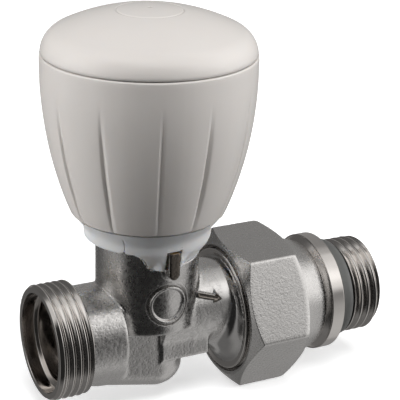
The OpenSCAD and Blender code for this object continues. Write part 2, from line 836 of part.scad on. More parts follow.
module tailpiece() {
    color(metal)
        difference() {
            spin_x(concat(
                [[0, nose_x], [nose_r - 0.8, nose_x], [nose_r, nose_x + 0.8],
                    [nose_r, union_ring_x], [union_groove_r, union_ring_x],
                    [union_groove_r, union_ring_x + union_ring_w],
                    [nose_r, union_ring_x + union_ring_w], [nose_r, shoulder_x],
                    [shoulder_r, shoulder_x], [shoulder_r, thrust_groove_x],
                    [seal_seat_r, thrust_groove_x],
                    [seal_seat_r, thrust_groove_x + thrust_w],
                    [tail_r, thrust_groove_x + thrust_w], [tail_r, flange_x - 0.9],
                    [flange_r - 1, flange_x - 0.9], [flange_r - 1, flange_x],
                    [flange_r - 0.3, flange_x],
                    [flange_r, flange_x + 0.3], [flange_r, seal_x - 0.5],
                    [flange_r - 0.5, seal_x], [seal_seat_r, seal_x],
                    [seal_seat_r, tail_thread_x - 0.1]],
                thread_edge(tail_thread_x, tail_turns, gas_pitch,
                    tail_thread_r, tail_thread_depth),
                [[tail_thread_r - 0.4, tail_end_x], [0, tail_end_x]]));
            bar_x(tail_bore_r, nose_x + tail_key_l - 0.2, tail_end_x + cut);
            translate([stem_at_x + nose_x - cut, 0, 0])
                rotate([0, 90, 0])
                    cylinder(r = tail_key_af / 2 / cos(30), h = tail_key_l + cut, $fn = 6);
            spin_x([[0, tail_end_x - 0.8], [tail_bore_r, tail_end_x - 0.8],
                [tail_bore_r + 0.8, tail_end_x], [tail_bore_r + 0.8, tail_end_x + cut],
                [0, tail_end_x + cut]]);
        }
}

module tail_seal() {
    color(rubber)
        spin_x([[seal_seat_r + 0.02, seal_x + 0.02], [seal_seat_r + seal_rise, seal_x + 0.02],
            [seal_seat_r + seal_rise, seal_x + tail_seal_w - 0.5],
            [seal_seat_r + seal_rise - 0.5, seal_x + tail_seal_w],
            [seal_seat_r + 0.02, seal_x + tail_seal_w]]);
}

module union_o_ring() {
    wire_r = (outlet_bore_r - slide_gap - union_groove_r) / 2;
    color(rubber)
        translate([stem_at_x + union_ring_x + union_ring_w / 2, 0, 0])
            rotate([0, 90, 0])
                rotate_extrude()
                    translate([union_groove_r + wire_r, 0])
                        circle(r = wire_r, $fn = facet_fn);
}

module thrust_ring() {
    color(brass)
        difference() {
            spin_x([[seal_seat_r + 0.02, thrust_groove_x + 0.05],
                [thrust_r, thrust_groove_x + 0.05],
                [thrust_r, thrust_groove_x + thrust_w - 0.05],
                [seal_seat_r + 0.02, thrust_groove_x + thrust_w - 0.05]]);
            translate([stem_at_x + thrust_groove_x - cut, -1.2, -thrust_r - cut])
                cube([thrust_w + 2 * cut, 2.4, thrust_r]);
        }
}

nut_bore_r = union_thread_r + slide_gap;
nut_face_r = nut_af / 2 - 0.75;
nut_turn = 35;
nut_mouth_w = 0.7;

module union_nut() {
    corner_r = nut_af / 2 / cos(30);
    chamfer_r = corner_r + 0.5;
    chamfer_rise = (chamfer_r - nut_face_r) * tan(30);
    neck_in_r = tail_r + 0.25;
    collar_start_r = nut_face_r - 0.5;
    color(metal)
        difference() {
            union() {
                intersection() {
                    translate([stem_at_x + nut_x, 0, 0])
                        rotate([0, 90, 0])
                            rotate([0, 0, nut_turn])
                                cylinder(r = corner_r, h = nut_hex_l, $fn = 6);
                    spin_x([[0, nut_x], [nut_face_r, nut_x],
                        [chamfer_r, nut_x + chamfer_rise],
                        [chamfer_r, nut_hex_end_x - chamfer_rise],
                        [nut_face_r, nut_hex_end_x], [0, nut_hex_end_x]]);
                }
                spin_x(concat(
                    [[0, nut_hex_end_x - cut], [collar_start_r, nut_hex_end_x - cut],
                        [collar_start_r, nut_hex_end_x + 1.2]],
                    [for (k = [1:6]) let (t = k / 6)
                        [collar_start_r + (nut_collar_r - collar_start_r) * t * t,
                            nut_hex_end_x + 1.2 + (nut_collar_l - 1.2) * t]],
                    [[0, nut_end_x]]));
            }
            spin_x(concat(
                [[0, nut_x - cut], [nut_bore_r + nut_mouth_w + cut, nut_x - cut],
                    [nut_bore_r + nut_mouth_w, nut_x], [nut_bore_r, nut_x + nut_mouth_w]],
                [for (i = [0:union_turns - 1])
                    let (x = nut_x + nut_mouth_w + 0.6 + gas_pitch * i) each [
                    [nut_bore_r, x], [nut_bore_r + 0.5, x + gas_pitch * 0.35],
                    [nut_bore_r, x + gas_pitch * 0.7]]],
                [[nut_bore_r, nut_lip_x], [0, nut_lip_x]]));
            bar_x(neck_in_r, nut_lip_x - cut, nut_end_x + cut);
        }
}

valve_body();
valve_insert();
guide_bush();
insert_o_ring();
gland_o_ring();
gland_nut();
stem_pin();
closing_disc_holder();
seat_washer();
washer_clip();
spring_retainer();
return_spring();
base_ring();
handwheel_skirt();
handwheel_cap();
drive_nut();
handwheel_circlip();
pusher();
tailpiece();
tail_seal();
union_o_ring();
thrust_ring();
union_nut();
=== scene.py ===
"""Radiator valve: the looks of each visible piece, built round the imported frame.

Shapes are worked out in millimetres, with places along the pipe axis measured
from the stem axis, and are turned to metres when their mesh is made.
"""

import math

import bpy
import numpy as np
from mathutils import Matrix, Vector


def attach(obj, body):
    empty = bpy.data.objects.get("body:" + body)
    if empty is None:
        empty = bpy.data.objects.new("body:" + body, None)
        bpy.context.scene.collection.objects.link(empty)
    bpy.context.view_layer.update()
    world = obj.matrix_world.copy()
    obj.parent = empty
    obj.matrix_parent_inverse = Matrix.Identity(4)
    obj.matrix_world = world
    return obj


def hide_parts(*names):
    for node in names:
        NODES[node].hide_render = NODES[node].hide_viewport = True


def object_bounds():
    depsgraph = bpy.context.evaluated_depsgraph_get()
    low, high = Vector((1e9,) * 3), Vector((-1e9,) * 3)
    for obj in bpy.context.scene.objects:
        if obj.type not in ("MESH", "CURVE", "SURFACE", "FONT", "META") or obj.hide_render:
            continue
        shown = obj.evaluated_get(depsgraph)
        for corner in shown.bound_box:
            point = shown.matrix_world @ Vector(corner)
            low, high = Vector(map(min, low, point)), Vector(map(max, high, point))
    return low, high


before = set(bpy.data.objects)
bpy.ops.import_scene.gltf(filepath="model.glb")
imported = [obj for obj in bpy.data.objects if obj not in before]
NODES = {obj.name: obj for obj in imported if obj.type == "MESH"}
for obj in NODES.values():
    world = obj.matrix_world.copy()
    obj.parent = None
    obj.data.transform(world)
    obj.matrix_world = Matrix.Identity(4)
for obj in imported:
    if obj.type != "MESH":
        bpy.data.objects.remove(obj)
CAD_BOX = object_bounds()

MM = 0.001
FULL = 2 * math.pi

# places, radii, pitches and turns that several pieces share, in mm and degrees
STEM_X = 20.25
PIPE_PITCH, TAIL_PITCH = 1.5, 1.814
CHAMBER_R, CHAMBER_TOP_Z = 10.7, 20.9
NECK_R, NECK_Z = 8.9, 2.9
BAND_Z, SHELF_Z, SHELF_RISE = 20.72, 16.6, 0.4
KEY_R, KEY_FOOT_Z, KEY_OUT = 1.15, 16.15, 13.1
DISC_X, DISC_Z = -0.05, 8.6
ARROW_X, ARROW_Z, ARROW_TILT = 7.9, 8.1, -16.6
NUT_TURN = 35.0
SKIRT_R, SKIRT_ARC_R, SKIRT_WIDE_Z = 21.595, 77.0, 55.35


# Meshes


def spread(start, end, count):
    """Values at even steps from start to end, both included."""
    return np.linspace(start, end, count)


def ease(low, high, value):
    """Smooth step: 0 below low, 1 above high, 3t^2 - 2t^3 between them."""
    t = np.clip((value - low) / (high - low), 0.0, 1.0)
    return t * t * (3 - 2 * t)


def rounded(corners, steps=4):
    """Outline through (radius, place, rounding) corners.

    Each corner with a rounding is swapped for the curve
    (1-s)^2 A + 2 s (1-s) P + s^2 B, where A and B lie on its two sides at
    the rounding's distance, or at 0.45 of the side if that is less.
    """
    pts = np.array([c[:2] for c in corners], float)
    out = []
    for i, corner in enumerate(corners):
        here, size = pts[i], corner[2]
        back, on = pts[i - 1] - here, pts[(i + 1) % len(pts)] - here
        reach = min(size, 0.45 * np.hypot(*back), 0.45 * np.hypot(*on))
        if reach < 1e-6:
            out.append(here[None])
            continue
        a = here + back / np.hypot(*back) * reach
        b = here + on / np.hypot(*on) * reach
        s = spread(0, 1, steps + 1)[:, None]
        out.append((1 - s) ** 2 * a + 2 * s * (1 - s) * here + s**2 * b)
    return np.vstack(out)


def loop_grid(points):
    """Points and quads of a (rows, columns, 3) grid that closes both ways."""
    rows, columns = points.shape[:2]
    index = np.arange(rows * columns).reshape(rows, columns)
    a, b = index, np.roll(index, -1, 0)
    quads = np.stack([a, b, np.roll(b, -1, 1), np.roll(a, -1, 1)], -1).reshape(-1, 4)
    return points.reshape(-1, 3), quads


def put_mesh(name, points, quads, materials, body, replaced=(), picks=None):
    """Mesh object from millimetre points and quads.

    The faces are turned outwards by the sign of their enclosed volume, and
    each corner normal is the sum of the face normals weighted by area, so
    flats stay flat beside narrow roundings.
    """
    p = (points + np.array([STEM_X, 0, 0])) * MM
    a, b, c, d = (p[quads[:, i]] for i in range(4))
    if np.einsum("ij,ij->", a, np.cross(b, c)) + np.einsum("ij,ij->", a, np.cross(c, d)) < 0:
        quads = quads[:, ::-1]
        a, b, c, d = d, c, b, a
    faces = np.cross(c - a, d - b)
    normals = np.zeros_like(p)
    for i in range(4):
        np.add.at(normals, quads[:, i], faces)
    normals /= np.maximum(np.linalg.norm(normals, axis=1), 1e-20)[:, None]
    mesh = bpy.data.meshes.new(name)
    mesh.from_pydata(p.tolist(), [], quads.tolist())
    for m in materials:
        mesh.materials.append(m)
    if picks is not None:
        mesh.polygons.foreach_set("material_index", np.asarray(picks, np.int32))
    mesh.polygons.foreach_set("use_smooth", np.ones(len(quads), bool))
    mesh.normals_split_custom_set_from_vertices(normals.tolist())
    mesh.update()
    obj = bpy.data.objects.new(name, mesh)
    bpy.context.scene.collection.objects.link(obj)
    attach(obj, body)
    if replaced:
        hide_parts(*replaced)
    return obj


def turned_x(radii, places, columns):
    """Grid round the pipe axis: (place, radius cos a, radius sin a)."""
    a = spread(0, FULL, columns + 1)[:-1]
    radii = np.broadcast_to(radii, (len(places), columns))
    x = np.broadcast_to(np.asarray(places)[:, None], radii.shape)
    return np.stack([x, radii * np.cos(a), radii * np.sin(a)], -1)


def turned_z(radii, places, angles):
    """Grid round the stem axis: (radius cos a, radius sin a, place)."""
    radii = np.broadcast_to(radii, (len(places), len(angles)))
    z = np.broadcast_to(np.asarray(places)[:, None], radii.shape)
    return np.stack([radii * np.cos(angles), radii * np.sin(angles), z], -1)


def thread_rows(start, end, pitch, crest, depth, columns, rows_per_pitch=26):
    """Radii and places of a helical thread.

    The radius is crest - depth * g. The phase is place / pitch less the
    share of a full turn, u is the place on the flank (-1 to 1), and
    g = 1/2 + (hypot(u + 1, k) - hypot(u - 1, k)) / 4 is a straight flank
    that is rounded by k at its two ends.
    """
    middle, half_flank, k = 0.54, 0.4, 0.16
    places = spread(start, end, int((end - start) / pitch * rows_per_pitch) + 1)
    turn = spread(0, 1, columns + 1)[:-1]
    phase = (places[:, None] - start) / pitch - turn[None]
    u = (np.abs((phase % 1.0) * 2 - 1) - middle) / half_flank
    g = 0.5 + 0.25 * (np.hypot(u + 1, k) - np.hypot(u - 1, k))
    return crest - depth * g, places


def full_rows(radii, columns):
    """The same radius all round, one row for each radius."""
    return np.repeat(radii[:, None], columns, 1)


# Materials


def sockets(group, ins, outs):
    """Gives a shader group its named inputs (name, type, value) and outputs."""
    for name, kind, value in ins:
        s = group.interface.new_socket(name=name, in_out="INPUT", socket_type=kind)
        if value is not None:
            s.default_value = value
    for name, kind in outs:
        group.interface.new_socket(name=name, in_out="OUTPUT", socket_type=kind)


class Nodes:
    """Short calls that add and join nodes in one tree."""

    def __init__(self, tree):
        self.tree = tree

    def add(self, kind, inputs=None, **settings):
        n = self.tree.nodes.new(kind)
        for key, value in settings.items():
            setattr(n, key, value)
        for key, value in (inputs or {}).items():
            self.set(n.inputs[key], value)
        return n

    def set(self, socket, value):
        if isinstance(value, bpy.types.NodeSocket):
            self.tree.links.new(value, socket)
        else:
            socket.default_value = value

    def math(self, op, a, b=0.0):
        return self.add("ShaderNodeMath", {0: a, 1: b}, operation=op).outputs[0]

    def product(self, *values):
        """Product of two or more values."""
        result = values[0]
        for value in values[1:]:
            result = self.math("MULTIPLY", result, value)
        return result

    def rest(self, value):
        """What is left of one: 1 - value."""
        return self.math("SUBTRACT", 1.0, value)

    def length(self, a, b):
        """Length of the two parts: sqrt(a^2 + b^2)."""
        return self.math("SQRT", self.math("ADD", self.math("POWER", a, 2.0), self.math("POWER", b, 2.0)))

    def span(self, value, from_min, from_max, to_min=0.0, to_max=1.0):
        """Value taken from one range to another, with a smooth step."""
        ranges = {"From Min": from_min, "From Max": from_max, "To Min": to_min, "To Max": to_max}
        n = self.add("ShaderNodeMapRange", {"Value": value, **ranges}, interpolation_type="SMOOTHSTEP")
        return n.outputs["Result"]

    def mix(self, factor, a, b):
        """Colour mix: inputs 6 and 7 are the node's two colours."""
        n = self.add("ShaderNodeMix", data_type="RGBA")
        self.set(n.inputs[0], factor)
        self.set(n.inputs[6], a)
        self.set(n.inputs[7], b)
        return n.outputs[2]

    def noise(self, vector, scale, detail=2.0, roughness=0.5):
        n = self.add(
            "ShaderNodeTexNoise",
            {"Vector": vector, "Scale": scale, "Detail": detail, "Roughness": roughness},
        )
        return n.outputs["Fac"]


def make_grain_group():
    """Blasted and cast metal grain: fine bumps, soft dimples and broad clouds."""
    g = bpy.data.node_groups.new("cast_grain", "ShaderNodeTree")
    sockets(
        g,
        [("Vector", "NodeSocketVector", None), ("Grain", "NodeSocketFloat", 3000.0)],
        [("Height", "NodeSocketFloat"), ("Clouds", "NodeSocketFloat")],
    )
    k = Nodes(g)
    i, o = k.add("NodeGroupInput"), k.add("NodeGroupOutput")
    fine = k.noise(i.outputs["Vector"], i.outputs["Grain"], 2.0, 0.55)
    wide = k.noise(i.outputs["Vector"], k.math("MULTIPLY", i.outputs["Grain"], 0.42), 1.0)
    k.set(o.inputs["Height"], k.math("ADD", fine, k.math("MULTIPLY", wide, 0.8)))
    k.set(o.inputs["Clouds"], k.noise(i.outputs["Vector"], 190.0, 3.0))
    return g


def make_turning_group():
    """Tool lines of a turned surface: noise read along (x, radius, a little angle).

    Bore is 1 inside a radius of 8.85 mm, where turned_metal can make the colour darker.
    """
    g = bpy.data.node_groups.new("tool_lines", "ShaderNodeTree")
    sockets(
        g,
        [("Vector", "NodeSocketVector", None), ("Lines", "NodeSocketFloat", 4000.0)],
        [(name, "NodeSocketFloat") for name in ("Height", "Bands", "Bore")],
    )
    k = Nodes(g)
    i, o = k.add("NodeGroupInput"), k.add("NodeGroupOutput")
    s = k.add("ShaderNodeSeparateXYZ", {0: i.outputs["Vector"]}).outputs
    radius = k.length(s["Y"], s["Z"])
    around = k.math("MULTIPLY", k.math("ARCTAN2", s["Z"], s["Y"]), 0.00012)
    v = k.add("ShaderNodeCombineXYZ", {0: s["X"], 1: radius, 2: around}).outputs[0]
    k.set(o.inputs["Height"], k.noise(v, i.outputs["Lines"], 3.0, 0.6))
    k.set(o.inputs["Bands"], k.noise(v, 700.0, 2.0))
    k.set(o.inputs["Bore"], k.span(radius, 8.95 * MM, 8.85 * MM))
    return g


def make_mould_group():
    """Moulded plastic: faint waviness and a fine texture."""
    g = bpy.data.node_groups.new("moulded_skin", "ShaderNodeTree")
    sockets(
        g,
        [("Vector", "NodeSocketVector", None)],
        [("Height", "NodeSocketFloat"), ("Clouds", "NodeSocketFloat")],
    )
    k = Nodes(g)
    i, o = k.add("NodeGroupInput"), k.add("NodeGroupOutput")
    wave = k.noise(i.outputs["Vector"], 120.0, 1.0)
    fine = k.noise(i.outputs["Vector"], 2600.0, 2.0)
    k.set(o.inputs["Height"], k.math("ADD", wave, k.math("MULTIPLY", fine, 0.05)))
    k.set(o.inputs["Clouds"], k.noise(i.outputs["Vector"], 60.0, 2.0))
    return g


GRAIN = make_grain_group()
TURNING = make_turning_group()
MOULDED = make_mould_group()


def new_material(name):
    """Empty node material with its Principled shader and object coordinates."""
    m = bpy.data.materials.new(name)
    m.use_nodes = True
    m.node_tree.nodes.clear()
    k = Nodes(m.node_tree)
    out = k.add("ShaderNodeOutputMaterial")
    shader = k.add("ShaderNodeBsdfPrincipled")
    k.set(out.inputs["Surface"], shader.outputs[0])
    spot = k.add("ShaderNodeTexCoord").outputs["Object"]
    return m, k, shader, spot


def bump(k, shader, height, strength, depth):
    """Feeds a height into the shader's normal, depth in millimetres."""
    n = k.add("ShaderNodeBump", {"Strength": strength, "Distance": depth * MM, "Height": height})
    k.set(shader.inputs["Normal"], n.outputs["Normal"])


def grained_metal(name, low, high, grain, depth, rough_low, rough_high):
    """Plated metal with a blasted grain."""
    m, k, shader, spot = new_material(name)
    g = k.add("ShaderNodeGroup", node_tree=GRAIN)
    k.set(g.inputs["Vector"], spot)
    k.set(g.inputs["Grain"], grain)
    shader.inputs["Metallic"].default_value = 1.0
    k.set(shader.inputs["Base Color"], k.mix(g.outputs["Clouds"], (*low, 1), (*high, 1)))
    k.set(shader.inputs["Roughness"], k.span(g.outputs["Height"], 0.6, 1.2, rough_low, rough_high))
    bump(k, shader, g.outputs["Height"], 1.0, depth)
    return m


def turned_metal(name, low, high, lines, depth, rough_low, rough_high, bore=None):
    """Lathe-turned metal with fine tool lines and, if given, a darker colour in the bore."""
    m, k, shader, spot = new_material(name)
    g = k.add("ShaderNodeGroup", node_tree=TURNING)
    k.set(g.inputs["Vector"], spot)
    k.set(g.inputs["Lines"], lines)
    shader.inputs["Metallic"].default_value = 1.0
    metal = k.mix(g.outputs["Bands"], (*low, 1), (*high, 1))
    if bore:
        metal = k.mix(g.outputs["Bore"], metal, (*bore, 1))
    k.set(shader.inputs["Base Color"], metal)
    k.set(shader.inputs["Roughness"], k.span(g.outputs["Bands"], 0.3, 0.7, rough_low, rough_high))
    bump(k, shader, g.outputs["Height"], 1.0, depth)
    return m


def moulded_plastic(name, low, high, roughness, scatter, wave):
    """Moulded plastic with a little light passing through its skin."""
    m, k, shader, spot = new_material(name)
    g = k.add("ShaderNodeGroup", node_tree=MOULDED)
    k.set(g.inputs["Vector"], spot)
    k.set(shader.inputs["Base Color"], k.mix(g.outputs["Clouds"], (*low, 1), (*high, 1)))
    shader.inputs["Roughness"].default_value = roughness
    shader.inputs["Subsurface Weight"].default_value = scatter
    shader.inputs["Subsurface Scale"].default_value = 0.0015
    shader.inputs["Subsurface Radius"].default_value = (1.0, 0.85, 0.7)
    bump(k, shader, g.outputs["Height"], 1.0, wave)
    return m


def rubber_material():
    """Dark rubber with a fine matt skin."""
    m, k, shader, spot = new_material("seal_rubber")
    g = k.add("ShaderNodeGroup", node_tree=GRAIN)
    k.set(g.inputs["Vector"], spot)
    k.set(g.inputs["Grain"], 2200.0)
    low, high = (0.085, 0.087, 0.085, 1), (0.125, 0.126, 0.122, 1)
    k.set(shader.inputs["Base Color"], k.mix(g.outputs["Clouds"], low, high))
    k.set(shader.inputs["Roughness"], k.span(g.outputs["Height"], 0.6, 1.2, 0.38, 0.55))
    bump(k, shader, g.outputs["Height"], 0.6, 0.01)
    return m


def casting_material():
    """Plated casting: grained, turned smooth in the outlet dish, with a painted
    shade darkening the front face, and a bare brass top, on each of the two keys."""
    m, k, shader, spot = new_material("cast_nickel")
    g = k.add("ShaderNodeGroup", node_tree=GRAIN)
    k.set(g.inputs["Vector"], spot)
    k.set(g.inputs["Grain"], 2300.0)
    t = k.add("ShaderNodeGroup", node_tree=TURNING)
    k.set(t.inputs["Vector"], spot)
    k.set(t.inputs["Lines"], 2600.0)
    s = k.add("ShaderNodeSeparateXYZ", {0: spot}).outputs
    side = k.math("ABSOLUTE", s["Y"])
    dish = k.span(s["X"], (STEM_X + 13.2) * MM, (STEM_X + 14.6) * MM)
    neck = k.span(s["X"], (STEM_X + 8.0) * MM, (STEM_X + 11.0) * MM)
    # front face of each key, where a painted shade darkens the colour
    key_face_painted_shade = k.span(side, (KEY_OUT - 0.2) * MM, (KEY_OUT - 0.08) * MM)
    high_up = k.span(s["Z"], (CHAMBER_TOP_Z - 0.18) * MM, (CHAMBER_TOP_Z - 0.06) * MM)
    key_top = k.product(high_up, k.span(side, 10.9 * MM, 11.1 * MM))
    low, high = (0.62, 0.61, 0.60, 1), (0.76, 0.75, 0.74, 1)
    # painted shade: a dark colour on the keys' front faces in place of the dark front they reflect
    painted_shade, bare_brass = (0.17, 0.15, 0.13, 1), (0.78, 0.57, 0.30, 1)
    metal = k.mix(key_face_painted_shade, k.mix(g.outputs["Clouds"], low, high), painted_shade)
    k.set(shader.inputs["Base Color"], k.mix(key_top, metal, bare_brass))
    shader.inputs["Metallic"].default_value = 1.0
    smooth = k.math("MAXIMUM", dish, key_top)
    grained = k.rest(smooth)
    cast_rough = k.span(g.outputs["Height"], 0.6, 1.2, 0.2, 0.36)
    rough = k.math("ADD", k.product(cast_rough, grained), k.product(smooth, 0.17))
    k.set(shader.inputs["Roughness"], rough)
    calm = k.rest(k.product(neck, 0.45))
    cast = k.product(g.outputs["Height"], calm, grained)
    lines = k.product(t.outputs["Height"], 0.25, smooth)
    bump(k, shader, k.math("ADD", cast, lines), 1.0, 0.045)
    return m


CAST = casting_material()
NUT_SATIN = grained_metal(
    "satin_nickel", (0.64, 0.63, 0.62), (0.73, 0.72, 0.71), 3900.0, 0.03, 0.18, 0.32
)
# darker nickel: painted shade on the arrow's face, in place of the dark front it reflects
CAST_PAINTED_SHADE = grained_metal(
    "cast_nickel_painted_shade", (0.22, 0.20, 0.18), (0.32, 0.29, 0.26), 2300.0, 0.03, 0.25, 0.4
)
TURNED = turned_metal(
    "turned_nickel",
    (0.70, 0.67, 0.645),
    (0.80, 0.775, 0.75),
    3000.0,
    0.0006,
    0.09,
    0.18,
    # darker, browner colour inside the bores
    bore=(0.56, 0.51, 0.47),
)
BRASS = turned_metal("brass", (0.74, 0.55, 0.27), (0.82, 0.63, 0.34), 3000.0, 0.006, 0.18, 0.30)
STEEL = turned_metal("steel", (0.50, 0.51, 0.52), (0.60, 0.61, 0.62), 3000.0, 0.004, 0.18, 0.30)
IVORY = moulded_plastic(
    "ivory_plastic", (0.70, 0.665, 0.635), (0.73, 0.695, 0.665), 0.22, 0.15, 0.05
)
WHITE = moulded_plastic(
    "white_plastic", (0.765, 0.765, 0.765), (0.805, 0.805, 0.805), 0.5, 0.6, 0.04
)
RUBBER = rubber_material()

HIDDEN_FINISHES = {
    "valve_insert": BRASS,
    "guide_bush": BRASS,
    "insert_o_ring": RUBBER,
    "gland_o_ring": RUBBER,
    "gland_nut": BRASS,
    "stem_pin": STEEL,
    "closing_disc_holder": BRASS,
    "seat_washer": RUBBER,
    "washer_clip": STEEL,
    "spring_retainer": STEEL,
    "return_spring": STEEL,
    "drive_nut": BRASS,
    "handwheel_circlip": STEEL,
    "pusher": WHITE,
    "union_o_ring": RUBBER,
    "thrust_ring": BRASS,
}
for node, material in HIDDEN_FINISHES.items():
    NODES[node].data.materials.clear()
    NODES[node].data.materials.append(material)


# Valve casting


def box_gap(a, b, rounding):
    """Distance to where two faces meet, with that rounding on their edge."""
    qa, qb = a + rounding, b + rounding
    outside = np.hypot(np.maximum(qa, 0), np.maximum(qb, 0))
    return outside + np.minimum(np.maximum(qa, qb), 0) - rounding


def blend(a, b, width):
    """Union of two distances with a fillet.

    It is min(a, b) - h^3 width / 6, with h = 1 - |a - b| / width, not under 0.
    """
    h = np.maximum(width - np.abs(a - b), 0) / width
    return np.minimum(a, b) - h**3 * width / 6


def ring_edge_curve():
    """Places and heights of the base ring's lower edge, seen from the front.

    From the pipe side: level at the band, an arc of 4.5 mm down, a rounded
    corner onto the shelf, and a small rise beyond the keys.
    """
    arc_r, arc_x, arc_z = 4.5, -8.9, 16.3
    corner_x, foot_x, end_x = -4.17, -3.1, 30.0
    rise_from, rise_to = 0.8, 2.2
    t = np.radians(spread(90, 22, 24))
    arc = np.stack([arc_r * np.cos(t) + arc_x, arc_r * np.sin(t) + arc_z], -1)
    s = spread(0, 1, 9)[1:, None]
    corner, foot = np.array([corner_x, SHELF_Z]), np.array([foot_x, SHELF_Z])
    curve = (1 - s) ** 2 * arc[-1] + 2 * s * (1 - s) * corner + s**2 * foot
    shelf = [(rise_from, SHELF_Z), (rise_to, SHELF_Z + SHELF_RISE), (end_x, SHELF_Z + SHELF_RISE)]
    line = np.vstack([[(-end_x, BAND_Z)], arc, curve, shelf])
    return line[:, 0], np.minimum(line[:, 1], BAND_Z)


EDGE_X, EDGE_Z = ring_edge_curve()
EDGE_COS = 1 / np.hypot(1, np.gradient(EDGE_Z, EDGE_X))


def branch_gap(x, along):
    """Inlet branch: a round bar that ends in a rounded face before the belly."""
    radius, start, end, edge = 10.4, -17.0, -8.3, 0.7
    return box_gap(along - radius, np.maximum(x - end, start - x), edge)


def belly_gap(x, y, z):
    """Belly: two upright posts hulled, with a rounded sloping underside.

    The reach is the distance from the line between the posts, less their
    radius. The underside rises evenly from the stem towards the inlet post.
    """
    post_r, post_x, top, edge = 7.4, -11.4, 2.6, 4.3
    low, rise, lean = -12.8, 2.4, 0.98
    reach = np.hypot(x - np.clip(x, post_x, 0.0), y) - post_r
    under = (low + rise * np.clip(x / post_x, 0, 1) - z) * lean
    return np.maximum(box_gap(reach, under, edge), z - top)


def chamber_gap(x, z, upright):
    """Upright chamber, with the pocket and shelf of the base ring's apron.

    Over the apron's lower edge the wall steps in to the collar's radius, and
    the collar itself rises a little above the chamber.
    """
    foot, collar_r, collar_top, play = 1.8, 9.7, 21.3, 0.03
    wall = box_gap(upright - CHAMBER_R, np.maximum(foot - z, z - CHAMBER_TOP_Z), 0.45)
    above = (z - np.interp(x, EDGE_X, EDGE_Z) + play) * np.interp(x, EDGE_X, EDGE_COS)
    wall = np.maximum(wall, np.minimum(np.minimum(above, upright - collar_r), x + 9.0))
    collar = box_gap(upright - collar_r, np.maximum(foot - z, z - collar_top), 0.3)
    return np.minimum(wall, collar)


def outlet_gap(x, y, z, along):
    """Outlet neck, the block under it and the turned dish.

    The dish's radius is 13 - 6.6 sqrt(1 - ((x - 10.5) / 6.6)^2): a hollow
    quarter round that opens to the rim.
    """
    neck_end = 16.0
    block_half, block_end, block_low, block_top = 7.7, 11.0, -6.0, 3.0
    dish_r, hollow_r, hollow_x, dish_start, dish_end = 13.0, 6.6, 10.5, 8.0, 17.3
    neck = np.maximum(np.hypot(y, z - NECK_Z) - NECK_R, np.maximum(-x, x - neck_end))
    sides = np.maximum(np.abs(y) - block_half, x - block_end)
    block = box_gap(sides, np.maximum(block_low - z, z - block_top), 0.6)
    block = np.maximum(block, -x)
    hollow = hollow_r * np.sqrt(np.clip(1 - ((x - hollow_x) / hollow_r) ** 2, 0, 1))
    ends = np.maximum(dish_start - x, x - dish_end)
    dish = np.maximum(along - (dish_r - hollow), ends) * 0.75
    return blend(blend(neck, block, 1.0), dish, 1.4)


def key_gaps(x, z, side):
    """Anti-turn keys, front and back: a soft boss, and a rib with a round foot
    that ends level with the chamber."""
    boss_r, boss_out, boss_top, root = 1.75, 10.95, 16.5, 8.4
    foot = np.hypot(x, np.minimum(z - KEY_FOOT_Z, 0))
    boss = np.maximum(side - boss_out, np.maximum(z - boss_top, root - side))
    rib = box_gap(foot - KEY_R, np.maximum(z - CHAMBER_TOP_Z, side - KEY_OUT), 0.15)
    return np.maximum(foot - boss_r, boss), np.maximum(rib, root - side)


def disc_pocket_gap(x, z, upright, side):
    """Round pockets behind the two disc plates."""
    radius, floor_r = 4.7, 9.8
    pocket = np.maximum(np.hypot(x - DISC_X, z - DISC_Z) - radius, floor_r - upright)
    return np.maximum(pocket, 6.0 - side)


def water_way_gap(x, y, z, upright, along):
    """Water way through the body.

    Pipe socket, passage, riser through the seat, the chamber's well round
    the raised seat, a duct that slopes down to the outlet, and its throat.
    """
    socket_r, socket_end = 8.85, -14.2
    passage_r, passage_z, passage_start, passage_end = 4.7, -4.6, -14.4, 3.2
    riser_low, riser_top = -8.3, 5.2
    well_r, well_z, seat_r, seat_z = 7.9, 2.4, 6.0, 4.2
    duct_r, duct_x, duct_z, duct_length, slope = 4.0, 7.8, 6.6, 9.6, math.radians(24)
    throat_start, throat_end, throat_r = 13.0, 17.5, 8.6
    socket = np.maximum(along - socket_r, x - socket_end)
    ends = np.maximum(x - passage_end, passage_start - x)
    passage = np.maximum(np.hypot(y, z - passage_z) - passage_r, ends)
    riser = np.maximum(upright - passage_r, np.maximum(riser_low - z, z - riser_top))
    well = np.maximum(upright - well_r, well_z - z)
    well = np.maximum(well, -np.maximum(upright - seat_r, z - seat_z))
    across = (x - duct_x) * math.sin(slope) + (z - duct_z) * math.cos(slope)
    onward = (x - duct_x) * math.cos(slope) - (z - duct_z) * math.sin(slope)
    duct = np.maximum(np.hypot(y, across) - duct_r, np.maximum(-onward, onward - duct_length))
    opening = np.interp(x, [throat_start, throat_end], [passage_r, throat_r])
    throat = np.maximum(along - opening, throat_start - x) * 0.8
    return np.minimum.reduce([socket, passage, riser, well, duct, throat])


def casting_gap(p):
    """Distance from the points to the casting's surface, inside negative.

    Branch, belly, chamber, outlet and keys are joined with fillets, and the
    disc plates' pockets and the water way are taken out.
    """
    x, y, z = p[..., 0], p[..., 1], p[..., 2]
    upright, along, side = np.hypot(x, y), np.hypot(y, z), np.abs(y)
    body = blend(branch_gap(x, along), belly_gap(x, y, z), 1.2)
    body = blend(body, chamber_gap(x, z, upright), 0.6)
    body = blend(body, outlet_gap(x, y, z, along), 1.0)
    boss, rib = key_gaps(x, z, side)
    body = blend(blend(body, boss, 0.9), rib, 0.35)
    body = np.maximum(body, -disc_pocket_gap(x, z, upright, side))
    return np.maximum(body, -water_way_gap(x, y, z, upright, along))


